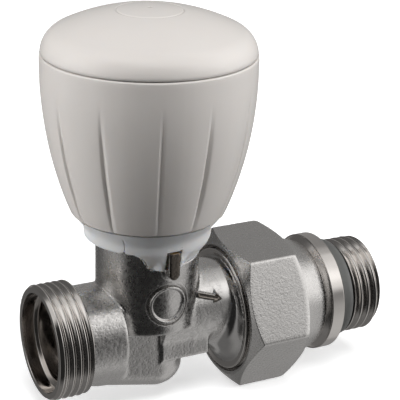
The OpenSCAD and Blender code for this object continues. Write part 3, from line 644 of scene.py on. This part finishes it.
def surface_net(gap, low, high, pitch):
    """Quads on the zero surface of a distance.

    A box of the grid that the surface crosses gets one point, at the mean of
    its crossed edges, and each crossed edge gets a quad of its four boxes.
    The points are then moved onto the surface along the distance's slope.
    """
    axes = [np.arange(a, b + pitch, pitch) for a, b in zip(low, high)]
    grid = np.stack(np.meshgrid(*axes, indexing="ij"), -1)
    value = gap(grid)
    inside = value < 0
    n = np.array(value.shape) - 1
    corners = [(i, j, k) for i in (0, 1) for j in (0, 1) for k in (0, 1)]
    cut = [tuple(slice(o, o + m) for o, m in zip(c, n)) for c in corners]
    count = sum(inside[c].astype(np.int8) for c in cut)
    active = (count > 0) & (count < 8)
    index = np.full(active.shape, -1)
    index[active] = np.arange(active.sum())
    cells = np.argwhere(active)
    total, hits = np.zeros((len(cells), 3)), np.zeros(len(cells))
    for a, ca in enumerate(corners):
        for b, cb in enumerate(corners):
            if b <= a or sum(abs(i - j) for i, j in zip(ca, cb)) != 1:
                continue
            va, vb = value[cut[a]][active], value[cut[b]][active]
            crossed = (va < 0) != (vb < 0)
            t = np.where(crossed, va / np.where(crossed, va - vb, 1.0), 0.0)[:, None]
            spot = np.array(ca) + (np.array(cb) - np.array(ca)) * t
            total += spot * crossed[:, None]
            hits += crossed
    points = np.array(low) + (cells + total / hits[:, None]) * pitch
    start = points.copy()
    step = 0.02
    for _ in range(5):
        slope = np.stack(
            [(gap(points + s) - gap(points - s)) / (2 * step) for s in np.eye(3) * step], -1
        )
        move = gap(points)[:, None] * slope / np.maximum((slope**2).sum(-1, keepdims=True), 0.2)
        points = points - 0.8 * move
        points = start + np.clip(points - start, -0.6 * pitch, 0.6 * pitch)
    quads = []
    for axis in range(3):
        u, v = (axis + 1) % 3, (axis + 2) % 3
        lead = [slice(1, m) for m in n]
        lead[axis] = slice(0, n[axis])
        ahead = list(lead)
        ahead[axis] = slice(1, n[axis] + 1)
        a, b = inside[tuple(lead)], inside[tuple(ahead)]
        edges = np.argwhere(a != b)
        turn = a[a != b]
        edges[:, u] += 1
        edges[:, v] += 1
        back_u, back_v = np.zeros(3, int), np.zeros(3, int)
        back_u[u], back_v[v] = 1, 1
        ring = [edges - back_u - back_v, edges - back_v, edges, edges - back_u]
        q = np.stack([index[tuple(r.T)] for r in ring], -1)
        quads.append(np.where(turn[:, None], q, q[:, ::-1]))
    return points, np.vstack(quads)


def make_casting():
    """Casting of the valve's body from its distance function."""
    pitch = 0.34
    low, high = (-18.03, -13.61, -13.72), (18.1, 13.7, 22.0)
    points, quads = surface_net(casting_gap, low, high, pitch)
    return put_mesh(
        "body_casting", points, quads, [CAST], "valve", ["valve_body"]
    )


def make_discs():
    """Blank round plates on the chamber, front and back.

    A section of (radius from the plate's centre, height over the chamber) is
    carried round the centre and laid on the chamber: y = -+ sqrt(R^2 - x^2)
    with R = 10.7 + height. A groove parts the raised rim from the chamber.
    """
    foot = [(5.3, -0.06, 0), (5.0, 0.03, 0.1), (4.66, 0.03, 0.12)]
    groove = [(4.5, -0.62, 0.06), (4.16, -0.62, 0.06)]
    rim = [(4.0, 0.36, 0.2), (3.6, 0.36, 0.2), (3.3, -0.28, 0.15)]
    face = [(2.2, -0.28, 0), (1.0, -0.28, 0), (0.05, -0.28, 0)]
    back = [(0.05, -0.8, 0), (4.4, -0.8, 0), (4.9, -0.3, 0)]
    section = rounded(foot + groove + rim + face + back, 4)
    t = spread(0, FULL, 97)[:-1]
    x = DISC_X + section[:, :1] * np.cos(t)
    z = DISC_Z + section[:, :1] * np.sin(t)
    y = np.sqrt((CHAMBER_R + section[:, 1:]) ** 2 - x**2)
    for name, side in (("body_disc_front", -1.0), ("body_disc_back", 1.0)):
        points, quads = loop_grid(np.stack([x, y * side, z], -1))
        put_mesh(name, points, quads, [CAST], "valve")


def make_arrow():
    """Flow arrow on the neck, with painted shade on its face.

    Its outline is walked at even steps and laid on the neck at heights over
    it: y = -sqrt(R^2 - (z - 2.9)^2) with R = 8.9 + height. The face stands
    0.38 mm further out for each mm over the arrow's middle line, so that it
    looks to the front, and is closed on that line.
    """
    shaft, head, head_at, tip = 0.6, 1.35, 3.9, 5.7
    lower = [(0, -shaft), (head_at, -shaft), (head_at, -head), (tip, 0)]
    upper = [(head_at, head), (head_at, shaft), (0, shaft), (0, -shaft)]
    corners = np.array(lower + upper)
    lengths = np.hypot(*np.diff(corners, axis=0).T)
    at = np.concatenate([[0], np.cumsum(lengths)])
    walk = spread(0, at[-1], 121)[:-1]
    run = np.interp(walk, at, corners[:, 0])
    side = np.interp(walk, at, corners[:, 1])
    spine = np.clip(run, 0.5, 4.6)
    tilt = math.radians(ARROW_TILT)
    # share of the way to the middle line, height: foot, wall, face, inside
    steps = [(-0.25, -0.3), (-0.18, -0.02), (0, 0.34), (0.12, 0.42), (0.3, 0.44), (1, 0.44)]
    steps += [(1, -0.6), (-0.1, -0.6)]
    first_face, last_face = 3, 4
    rows = []
    for inset, height in steps:
        u = run + (spine - run) * inset
        v = side * (1 - inset)
        x = ARROW_X + u * math.cos(tilt) - v * math.sin(tilt)
        z = ARROW_Z + u * math.sin(tilt) + v * math.cos(tilt)
        lift = 0.38 * v if height > 0 else 0.0
        y = -np.sqrt((NECK_R + height) ** 2 - (z - NECK_Z) ** 2) - lift
        rows.append(np.stack([x, y, z], -1))
    points, quads = loop_grid(np.array(rows))
    # painted shade: the rows of the face take the darker nickel
    level = np.arange(len(quads)) // len(walk)
    painted_shade = (level >= first_face) & (level <= last_face)
    put_mesh("body_arrow", points, quads, [CAST, CAST_PAINTED_SHADE], "valve", picks=painted_shade)


def make_inlet_turning():
    """Pipe-side end of the body: stepped mouth and male thread, turned."""
    columns = 192
    back = rounded(
        [
            (11.35, -16.75, 0.1),
            (10.35, -16.0, 0.1),
            (8.8, -16.0, 0),
            (8.8, -20.95, 0.14),
            (10.15, -21.3, 0.1),
            (10.35, -24.0, 0.12),
            (11.5, -24.0, 0.08),
            (12.0, -23.35, 0.15),
            (12.0, -23.1, 0.1),
            (11.4, -22.8, 0),
        ]
    )
    radii, places = thread_rows(-22.75, -16.8, PIPE_PITCH, 12.0, 0.62, columns)
    radii = np.vstack([full_rows(back[:, 0], columns), radii])
    places = np.concatenate([back[:, 1], places])
    points, quads = loop_grid(turned_x(radii, places, columns))
    return put_mesh("body_inlet_turning", points, quads, [TURNED], "valve")


def make_outlet_turning():
    """Union end of the body: dish rim, male thread and outlet bore, turned."""
    columns = 160
    back = rounded(
        [
            (12.5, 27.0, 0.15),
            (9.4, 27.0, 0.15),
            (8.6, 26.2, 0.1),
            (8.6, 17.6, 0.1),
            (11.9, 17.0, 0.1),
            (12.75, 16.75, 0.2),
            (13.1, 17.0, 0.2),
            (13.1, 17.75, 0.1),
            (12.6, 17.9, 0),
        ]
    )
    radii, places = thread_rows(17.95, 26.9, TAIL_PITCH, 13.1, 0.6, columns, 10)
    radii = np.vstack([full_rows(back[:, 0], columns), radii])
    places = np.concatenate([back[:, 1], places])
    points, quads = loop_grid(turned_x(radii, places, columns))
    return put_mesh("body_outlet_turning", points, quads, [TURNED], "valve")


# Union


def make_union_nut():
    """Union nut.

    The radius of its hexagon is 15 / cos(angle from the flat), eased at the
    corners, and both ends are cut by 30 degree cones. A row of the grid lies
    exactly where each cone meets the hexagon, and beyond the far one a brim
    loses bevel * t^1.5 on its way out.
    """
    columns = 288
    half_flats, corner, soft, face = 15.0, 17.32, 0.05, 14.25
    mouth, back, brim, bevel = 17.2, 30.5, 1.05, 0.16
    a = spread(0, FULL, columns + 1)[:-1]
    sixth = math.radians(60)
    off = (a - math.radians(NUT_TURN) + sixth / 2) % sixth - sixth / 2
    flat = half_flats / np.cos(off)
    hexagon = -soft * np.log(np.exp(-flat / soft) + np.exp(-corner / soft))
    slope = math.tan(math.radians(30))
    near = mouth + (hexagon - face) * slope
    far = back - (hexagon - face) * slope
    inner = [(9.65, 36.7, 0.2), (9.65, 30.9, 0.1), (13.18, 30.7, 0.1)]
    inner += [(13.18, 18.4, 0.1), (13.8, 17.8, 0.1), (13.85, mouth, 0.12)]
    rows = [(np.full(columns, r), np.full(columns, x)) for r, x in rounded(inner, 3)]
    for t in spread(0.04, 0.95, 6):
        rows.append((face + (hexagon - face) * t, mouth + (near - mouth) * t))
    rows.append((hexagon - 0.02, near - 0.01))
    for t in spread(0.012, 0.988, 18):
        rows.append((hexagon, near + (far - near) * t))
    for t in (0.03, 0.35, 0.65, 0.97):
        rows.append((hexagon - bevel * t**1.5, far + brim * t))
    for t in spread(0.99, 0.04, 7):
        rows.append((face + (hexagon - face) * t - bevel, back + brim - (back - far) * t))
    collar = [(13.9, 31.57, 0.05), (13.65, 31.6, 0.06), (13.5, 32.0, 0.3), (13.0, 33.2, 0.7)]
    collar += [(12.3, 34.9, 0.9), (11.6, 37.0, 0.2), (9.9, 37.0, 0.2)]
    rows += [(np.full(columns, r), np.full(columns, x)) for r, x in rounded(collar, 5)]
    radii = np.array([r for r, _ in rows])
    places = np.array([x for _, x in rows])
    points, quads = loop_grid(np.stack([places, radii * np.cos(a), radii * np.sin(a)], -1))
    return put_mesh(
        "union_nut_dressed", points, quads, [NUT_SATIN], "nut", ["union_nut"]
    )


def make_tailpiece():
    """Tailpiece: a turned outline with a helical thread and a hexagon socket.

    The socket's radius is 6 / cos(angle from its flat), and a 45 degree
    chamfer cuts the thread's end.
    """
    columns = 180
    socket_half, crest, end = 6.0, 10.478, 51.95
    a = spread(0, FULL, columns + 1)[:-1]
    nose = [(6.0, 33.6, 0), (6.0, 20.6, 0.1), (7.6, 20.5, 0.2), (8.4, 21.3, 0.2)]
    seal_groove = [(8.4, 23.1, 0.1), (7.1, 23.1, 0.05), (7.1, 25.0, 0.05), (8.4, 25.0, 0.1)]
    guide = [(8.4, 27.3, 0.1), (10.2, 27.3, 0.2), (10.2, 28.5, 0.1)]
    ring_groove = [(9.0, 28.5, 0.1), (9.0, 30.4, 0.1), (9.4, 30.4, 0.1), (9.4, 37.2, 0.1)]
    cone = [(11.3, 37.2, 0.05), (12.35, 38.05, 0.08), (12.45, 38.15, 0.04)]
    flange = [(12.8, 38.2, 0.08), (12.8, 41.0, 0.1), (12.4, 41.4, 0.1)]
    seal_seat = [(9.0, 41.4, 0.1), (9.0, 44.9, 0.2), (9.5, 45.15, 0)]
    front = rounded(nose + seal_groove + guide + ring_groove + cone + flange + seal_seat)
    tail = rounded([(9.4, end, 0.1), (7.2, end, 0.2), (6.4, 51.2, 0.15), (6.4, 33.8, 0.05)])
    radii, places = thread_rows(45.2, 51.9, TAIL_PITCH, crest, 0.95, columns)
    radii = np.minimum(radii, (10.08 + end - places)[:, None])
    front_rows, tail_rows = full_rows(front[:, 0], columns), full_rows(tail[:, 0], columns)
    radii = np.vstack([front_rows, radii, tail_rows])
    places = np.concatenate([front[:, 1], places, tail[:, 1]])
    sixth = math.radians(60)
    off = (a + sixth / 2) % sixth - sixth / 2
    socket = (radii[:, 0] < socket_half + 0.01)[:, None]
    radii = np.where(socket, socket_half / np.cos(off), radii)
    points, quads = loop_grid(turned_x(radii, places, columns))
    return put_mesh(
        "tailpiece_dressed", points, quads, [TURNED], "tail", ["tailpiece"]
    )


def make_tail_seal():
    """Soft seal behind the tail thread: a plump ring."""
    section = [(9.05, 41.45, 0.1), (10.95, 41.45, 0.15), (11.0, 43.7, 0.6)]
    section += [(10.6, 44.75, 0.4), (9.05, 44.8, 0.1)]
    outline = rounded(section, 5)
    points, quads = loop_grid(turned_x(outline[:, :1], outline[:, 1], 144))
    return put_mesh(
        "tail_seal_dressed", points, quads, [RUBBER], "tail", ["tail_seal"]
    )


# Handwheel


def skirt_radius(z):
    """Long curve of the skirt: an arc of 77 mm, widest at z = 55.35."""
    return SKIRT_R - SKIRT_ARC_R + np.sqrt(SKIRT_ARC_R**2 - (SKIRT_WIDE_Z - z) ** 2)


def make_skirt():
    """Skirt of the handwheel.

    The outline is carried round the stem axis. Its outer curve loses
    depth(z) * (0.42 V + 0.16 C). V is a notch at each of the twelve grooves,
    with a steep and a long flank, and C = (1 - off / 15)^3 crowns each petal,
    where off is the angle from the groove. The grooves stand every 30
    degrees, apart from three that are turned a little.
    """
    grooves, first, even = 12, 280.5, 30.0
    notch_depth, crown_depth, short_flank, long_flank = 0.42, 0.16, 0.5, 0.85
    half = np.array([0, 0.2, 0.45, 0.7, 0.95, 1.2, 1.5, 1.9, 2.5, 3.4, 4.8, 6.6, 8.8, 11.2, 13.2])
    sector = np.concatenate([half, even - half[:0:-1]])
    starts = first + np.arange(grooves + 1) * even
    starts[[0, 10, 11, 12]] += [-2.2, -0.5, 1.4, -2.2]
    wide = np.repeat(np.diff(starts) / even, len(sector))
    turns = np.repeat(starts[:-1], len(sector)) + np.tile(sector, grooves) * wide
    off = np.tile(np.where(sector > even / 2, sector - even, sector), grooves) * wide
    flank = np.where(off < 0, short_flank, long_flank)
    off = np.abs(off)
    outer_z = np.concatenate([spread(27.6, 56.2, 60), [57.0, 57.6]])
    outer_r = np.minimum(skirt_radius(np.minimum(outer_z, SKIRT_WIDE_Z)), SKIRT_R)
    outer = np.stack([outer_r, outer_z], -1)
    foot = [(14.4, 26.25, 0.15), (15.0, 25.97, 0.6), (15.75, 26.0, 1.1)]
    foot += [(skirt_radius(z), z, size) for z, size in ((27.4, 0.6), (28.2, 0))]
    foot = rounded(foot, 5)[:-2]
    lip = [(SKIRT_R, 57.7, 0), (21.55, 58.75, 0.75), (20.7, 58.78, 0.1), (20.5, 58.4, 0.1)]
    seat = [(19.45, 58.35, 0.1), (19.45, 53.85, 0.2), (19.5, 52.2, 0.2), (9.6, 52.0, 0.1)]
    hub = [(9.6, 43.3, 0.05), (8.38, 43.3, 0.05), (8.38, 31.1, 0.1), (11.1, 31.1, 0.15)]
    top = rounded(lip + seat + hub + [(11.1, 50.0, 0.3)])
    inner_z = spread(50.0, 27.5, 16)
    inner = np.stack([skirt_radius(inner_z) - 1.8, inner_z], -1)
    outline = np.vstack([foot, outer[outer[:, 1] > foot[-1, 1] + 0.2], top, inner])
    r, z = outline[:, 0][:, None], outline[:, 1][:, None]
    on_outer = (r > skirt_radius(np.clip(z, 26, SKIRT_WIDE_Z)) - 0.9) & (z < 57.65)
    depth = ease(0, 13, 54.6 - z) * (0.35 + 0.65 * ease(25, 35, z)) * on_outer
    notch = np.clip(1 - np.radians(off)[None] * r / flank, 0, 1)
    crown = np.clip(1 - off / (even / 2), 0, 1)[None] ** 3
    radii = r - depth * (notch_depth * notch + crown_depth * crown)
    points, quads = loop_grid(turned_z(radii, outline[:, 1], np.radians(turns)))
    return put_mesh(
        "handwheel_skirt_dressed",
        points,
        quads,
        [IVORY],
        "handwheel",
        ["handwheel_skirt"],
    )


def make_cap():
    """Domed cap: an arc of 42.4 mm, a corner of 5.4 mm and a fine ring groove.

    The groove takes 0.12 exp(-((r - 6.6) / 0.17)^2) from the dome.
    """
    dome_r, under_dome_r, corner_r, edge_r, edge_z = 42.4, 40.6, 5.4, 21.45, 58.65
    groove_r, groove_half, groove_depth = 6.6, 0.17, 0.12
    corner_x = edge_r - corner_r
    dome_z = edge_z - math.sqrt((dome_r - corner_r) ** 2 - corner_x**2)
    c = spread(0.08, math.atan2(edge_z - dome_z, corner_x), 12)
    corner = np.stack([corner_x + corner_r * np.cos(c), edge_z + corner_r * np.sin(c)], -1)
    slope_r = spread(corner[-1, 0] - 0.5, 7.4, 16)
    radii = np.concatenate([slope_r, spread(7.0, 6.2, 9), [5.8], spread(5.2, 0.15, 10)])
    dome = np.stack([radii, dome_z + np.sqrt(dome_r**2 - radii**2)], -1)
    dome[:, 1] -= groove_depth * np.exp(-(((radii - groove_r) / groove_half) ** 2))
    under_r = spread(0.15, 17.4, 10)
    under = np.stack([under_r, dome_z + np.sqrt(under_dome_r**2 - under_r**2)], -1)
    wall = [(17.75, edge_z, 0.1), (17.75, 54.75, 0.1), (19.38, 54.75, 0.15), (19.38, 58.5, 0)]
    lip = [(20.6, 58.6, 0.1), (20.85, 58.88, 0.1), (21.3, 58.9, 0.1)]
    outline = np.vstack([corner, dome, under, rounded(wall + lip, 3)])
    angles = spread(0, FULL, 181)[:-1]
    points, quads = loop_grid(turned_z(outline[:, :1], outline[:, 1], angles))
    return put_mesh(
        "handwheel_cap_dressed",
        points,
        quads,
        [IVORY],
        "handwheel",
        ["handwheel_cap"],
    )


def ring_degrees():
    """Angles of the base ring's columns, closer together where its edge bends."""
    steps = np.array([0, 5, 10.8, 11.2, 16, 22, 28, 34, 40, 44.2, 44.6, 44.8, 45, 45.2, 45.4, 45.8])
    steps = np.concatenate([steps, np.arange(47, 76, 1.0), [78, 79.6, 82.0, 82.8, 86, 90]])
    degrees = np.concatenate([steps, 180 - steps])
    return np.unique(np.round(np.concatenate([degrees, -degrees]), 2) % 360)


def make_base_ring():
    """Base ring with its apron.

    One closed section is carried round the stem axis. The height of its
    lower edge follows the curve of ring_edge_curve at the place of each
    point, and rises over the two keys, whose slots have parallel sides.
    Beside the keys the apron's cone is filled out to r = 11.8 to 12.65.
    """
    degrees = ring_degrees()
    n = len(degrees)
    key_off = (degrees % 180) - 90
    slot = np.abs(key_off) < 7.5
    half_slot, slot_top, band_r, bore_top, apron_top = 1.65, 21.2, 10.85, 29.0, 22.0

    def turned_angle(r):
        """Angles of the columns at a radius, with the slots' sides parallel."""
        wall = np.isin(np.round(np.abs(key_off), 2), (7.2, 8.0))
        side = np.where(slot, half_slot, half_slot + 0.06)
        bent = np.degrees(np.arcsin(np.clip(side / r, 0, 1))) * np.sign(key_off)
        return np.radians(np.where(wall, degrees - key_off + bent, degrees))

    # the apron's outer face, from the shelf up to the band
    apron_z = [16.6, 17.3, 17.7, 18.1, 18.9, 19.6, 20.2, 20.8, 21.4, 22.0]
    apron_r = [10.75, 10.8, 10.92, 11.2, 11.87, 12.42, 12.79, 13.0, 13.1, 13.12]
    low = np.full(n, 20.0)
    for _ in range(60):
        x = np.interp(low, apron_z, apron_r) * np.cos(np.radians(degrees))
        low = 0.5 * low + 0.5 * np.interp(x, EDGE_X, EDGE_Z)
    low = np.where(slot, slot_top, low + 0.05)
    # a moulding line at 225 degrees, and a nick in the edge beside it
    pinch = 0.3 * np.exp(-(((degrees - 225) / 0.32) ** 2))
    low = low + 0.55 * np.exp(-(((degrees - 224.4) / 1.1) ** 2)) * (low > 20)
    bore = np.where(np.minimum(degrees % 180, 180 - degrees % 180) < 11.0, 7.2, 6.3)
    seat = np.where(low < 20.6, band_r - 1.0, band_r)
    rim = [(15.3, 25.6, 0.1), (13.4, 25.6, 0), (13.4, 30.4, 0.1), (13.0, 30.8, 0.1)]
    tube = [(8.3, 30.8, 0.1), (8.3, 43.5, 0), (7.8, 43.5, 0), (7.8, 44.3, 0)]
    tube += [(8.3, 44.3, 0), (8.3, 45.2, 0), (8.0, 45.5, 0)]
    rows = [(np.full(n, r), np.full(n, z)) for r, z in rounded(rim + tube, 3)]
    rows += [(bore, np.full(n, z)) for z in (45.5, bore_top)]
    rows += [(np.full(n, band_r), np.full(n, z)) for z in (bore_top, 22.2)]
    rows += [(seat, np.maximum(low + 0.2, 21.9)), (seat, low + 0.12), (seat + 0.1, low)]
    beside_key = 1 - ease(2.0, 4.4, 13.0 * np.abs(np.sin(np.radians(key_off))))
    for share in (1, 0.985, 0.96, 0.91, 0.85, 0.77, 0.68, 0.58, 0.48, 0.38, 0.28, 0.18, 0.09, 0):
        z = apron_top + (low - apron_top) * share
        r = np.interp(z, apron_z, apron_r)
        r = r + np.maximum(np.interp(z, [16.6, 19.0], [11.8, 12.65]) - r, 0) * beside_key
        rows.append((r - 0.1 * (share == 1) - pinch, z))
    flare_z = [22.3, 22.7, 23.1, 23.5, 23.9, 24.4, 24.8, 25.2]
    flare_r = [13.14, 13.21, 13.35, 13.57, 13.86, 14.27, 14.61, 14.95]
    for z, r in zip(flare_z, flare_r):
        rows.append((np.full(n, r) - pinch * (z < 24), np.full(n, z)))
    points = []
    for r, z in rows:
        a = turned_angle(r)
        points.append(np.stack([r * np.cos(a), r * np.sin(a), z], -1))
    points, quads = loop_grid(np.array(points))
    return put_mesh(
        "base_ring_dressed", points, quads, [WHITE], "valve", ["base_ring"]
    )


make_casting()
make_discs()
make_arrow()
make_inlet_turning()
make_outlet_turning()
make_union_nut()
make_tailpiece()
make_tail_seal()
make_skirt()
make_cap()
make_base_ring()


# Studio


# tent patches: azimuth from, to, elevation from, to, softness, brightness
TENT_BASE = 0.27
TENT_PATCHES = [
    (-200, 10, -95, -50, 10, 0.15),
    (10, 200, -95, -50, 10, 0.3),
    (-190, -135, -50, 50, 12, 0.11),
    (-78, 22, -55, 50, 9, 0.02),
    (-128, -76, -10, 64, 8, 0.66),
    (-108, -84, 6, 36, 7, 1.05),
    (31, 100, -64, -4, 10, 0.52),
    (98, 128, -20, 42, 9, 0.3),
    (44, 98, -4, 34, 7, 1.0),
    (10, 125, 52, 76, 9, 0.5),
    (23, 98, 16, 60, 8, 0.95),
    (50, 94, 4, 34, 8, 1.2),
    (22, 48, 30, 58, 7, 1.3),
    (-120, -15, 58, 95, 9, 1.1),
]

# lamps: name, azimuth, elevation, distance, width, height, watts
LAMPS = [
    ("left_softbox", -110, 8, 0.95, 0.5, 0.9, 10.0),
    ("right_softbox", 63, 10, 0.95, 0.5, 0.9, 9.5),
    ("top_softbox", -10, 66, 1.0, 0.6, 0.6, 7.5),
]
FILL = 0.025


def stage_mesh(name, points, faces, material):
    """Floor or card of the studio, in metres."""
    mesh = bpy.data.meshes.new(name)
    mesh.from_pydata(points, [], faces)
    mesh.materials.append(material)
    obj = bpy.data.objects.new(name, mesh)
    bpy.context.scene.collection.objects.link(obj)
    return obj


def stage_card(name, x_range, y_range, z, material):
    """Level rectangle of the studio, in metres."""
    (x0, x1), (y0, y1) = x_range, y_range
    corners = [(x0, y0, z), (x1, y0, z), (x1, y1, z), (x0, y1, z)]
    return stage_mesh(name, corners, [(0, 1, 2, 3)], material)


def stage_material(name):
    """Empty node material of the studio, with its tree and output."""
    m = bpy.data.materials.new(name)
    m.use_nodes = True
    m.node_tree.nodes.clear()
    k = Nodes(m.node_tree)
    return m, k, k.add("ShaderNodeOutputMaterial")


def floor_material():
    """Pale floor that the camera sees as white, with the object's shadow on it."""
    m, k, out = stage_material("pale_floor")
    diffuse = k.add("ShaderNodeBsdfDiffuse", {"Color": (0.86, 0.86, 0.86, 1)})
    glow = k.add("ShaderNodeEmission", {"Color": (1, 1, 1, 1), "Strength": 0.55})
    path = k.add("ShaderNodeLightPath")
    seen = k.math("MAXIMUM", path.outputs["Is Camera Ray"], path.outputs["Is Transmission Ray"])
    both = k.add("ShaderNodeAddShader", {0: diffuse.outputs[0], 1: glow.outputs[0]})
    mixed = k.add("ShaderNodeMixShader", {0: seen, 1: diffuse.outputs[0], 2: both.outputs[0]})
    k.set(out.inputs["Surface"], mixed.outputs[0])
    return m


def tent_material():
    """Light tent that only reflections see: bright softboxes, a grey back and
    dark flags, placed by azimuth from the front and by elevation."""
    m, k, out = stage_material("light_tent")
    s = k.add("ShaderNodeSeparateXYZ", {0: k.add("ShaderNodeTexCoord").outputs["Object"]}).outputs
    in_degrees = 57.29578
    turn = k.math("ARCTAN2", s["X"], k.math("MULTIPLY", s["Y"], -1.0))
    azimuth = k.math("MULTIPLY", turn, in_degrees)
    rise = k.math("ARCTAN2", s["Z"], k.length(s["X"], s["Y"]))
    elevation = k.math("MULTIPLY", rise, in_degrees)
    level = TENT_BASE
    for a0, a1, e0, e1, soft, target in TENT_PATCHES:
        left = k.span(azimuth, a0 - soft, a0 + soft)
        right = k.span(azimuth, a1 + soft, a1 - soft)
        below = k.span(elevation, e0 - soft, e0 + soft)
        above = k.span(elevation, e1 + soft, e1 - soft)
        mask = k.product(k.product(left, right), k.product(below, above))
        level = k.math("ADD", k.product(mask, target), k.product(k.rest(mask), level))
    glow = k.add("ShaderNodeEmission", {"Color": (1, 0.985, 0.97, 1), "Strength": level})
    k.set(out.inputs["Surface"], glow.outputs[0])
    return m


def flag_material():
    """Dark cloth of the flag on the floor."""
    m, k, out = stage_material("dark_flag")
    cloth = k.add("ShaderNodeBsdfDiffuse", {"Color": (0.03, 0.03, 0.03, 1)})
    k.set(out.inputs["Surface"], cloth.outputs[0])
    return m


def make_tent():
    """Light tent: a sphere of 2.6 m radius that only reflections see.

    A point is (cos v cos u, cos v sin u, sin v) times the radius.
    """
    columns, rows, radius = 48, 25, 2.6
    u = spread(0, FULL, columns + 1)[:-1][:, None]
    v = spread(-1.5707, 1.5707, rows)[None]
    shell = [np.cos(v) * np.cos(u), np.cos(v) * np.sin(u), np.sin(v) + 0 * u]
    points = np.stack(shell, -1) * radius
    index = np.arange(columns * rows).reshape(columns, rows)
    ahead = np.roll(index, -1, 0)
    faces = np.stack([index[:, :-1], ahead[:, :-1], ahead[:, 1:], index[:, 1:]], -1)
    faces = faces.reshape(-1, 4).tolist()
    tent = stage_mesh("light_tent", points.reshape(-1, 3).tolist(), faces, tent_material())
    tent.visible_camera = tent.visible_diffuse = tent.visible_shadow = False


def make_lamps():
    """Softboxes round the part. Reflections show the tent in their place."""
    aim = Vector((0.02, 0, 0.02))
    for name, azimuth, elevation, distance, width, height, watts in LAMPS:
        az, el = math.radians(azimuth), math.radians(elevation)
        toward = Vector((math.cos(el) * math.sin(az), -math.cos(el) * math.cos(az), math.sin(el)))
        data = bpy.data.lights.new(name, "AREA")
        data.shape = "RECTANGLE"
        data.size, data.size_y = width, height
        data.energy = watts
        obj = bpy.data.objects.new(name, data)
        bpy.context.scene.collection.objects.link(obj)
        obj.location = aim + toward * distance
        obj.rotation_euler = toward.to_track_quat("Z", "Y").to_euler()
        obj.visible_glossy = obj.visible_camera = False


def make_world():
    """White world for the camera, with a faint fill for the rest."""
    world = bpy.data.worlds.new("studio_world")
    bpy.context.scene.world = world
    world.use_nodes = True
    world.node_tree.nodes.clear()
    k = Nodes(world.node_tree)
    out = k.add("ShaderNodeOutputWorld")
    path = k.add("ShaderNodeLightPath").outputs
    seen = k.math("MAXIMUM", path["Is Camera Ray"], path["Is Glossy Ray"])
    seen = k.math("MAXIMUM", seen, path["Is Transmission Ray"])
    fill = k.add("ShaderNodeBackground", {"Color": (1, 1, 1, 1), "Strength": FILL})
    white = k.add("ShaderNodeBackground", {"Color": (1, 1, 1, 1), "Strength": 1.0})
    mixed = k.add("ShaderNodeMixShader", {0: seen, 1: fill.outputs[0], 2: white.outputs[0]})
    k.set(out.inputs["Surface"], mixed.outputs[0])


def make_studio():
    """Pale floor, light tent, dark flag on the floor, lamps and world."""
    low = CAD_BOX[0].z - 0.0004
    floor = stage_card("floor", (-4.0, 4.0), (-4.0, 4.0), low, floor_material())
    floor.visible_glossy = False
    make_tent()
    flag = stage_card("dark_flag", (-0.45, 0.5), (-1.2, -0.02), low + 0.0003, flag_material())
    flag.visible_camera = flag.visible_glossy = flag.visible_shadow = False
    make_lamps()
    make_world()


def make_camera():
    """Camera fitted to the circles, threads and hexagon of the photograph."""
    yaw, pitch, roll = 0.47541, 0.37742, 0.02419
    ahead = np.array([math.sin(yaw) * math.cos(pitch), math.cos(yaw) * math.cos(pitch), -math.sin(pitch)])
    right = np.cross(ahead, (0, 0, 1))
    right /= np.linalg.norm(right)
    up = np.cross(right, ahead)
    across = math.cos(roll) * right + math.sin(roll) * up
    upward = -math.sin(roll) * right + math.cos(roll) * up
    data = bpy.data.cameras.new("camera")
    data.sensor_width = 36.0
    data.lens = 133.58
    data.shift_x, data.shift_y = 0.0091, 0.02371
    data.clip_start, data.clip_end = 0.01, 20
    obj = bpy.data.objects.new("camera", data)
    bpy.context.scene.collection.objects.link(obj)
    place = Matrix.Identity(4)
    for i, axis in enumerate((across, upward, -ahead)):
        for j in range(3):
            place[j][i] = float(axis[j])
    for j, value in enumerate((-0.09974, -0.25481, 0.13734)):
        place[j][3] = value
    obj.matrix_world = place
    bpy.context.scene.camera = obj


make_studio()
make_camera()
bpy.context.scene.view_settings.view_transform = "Standard"
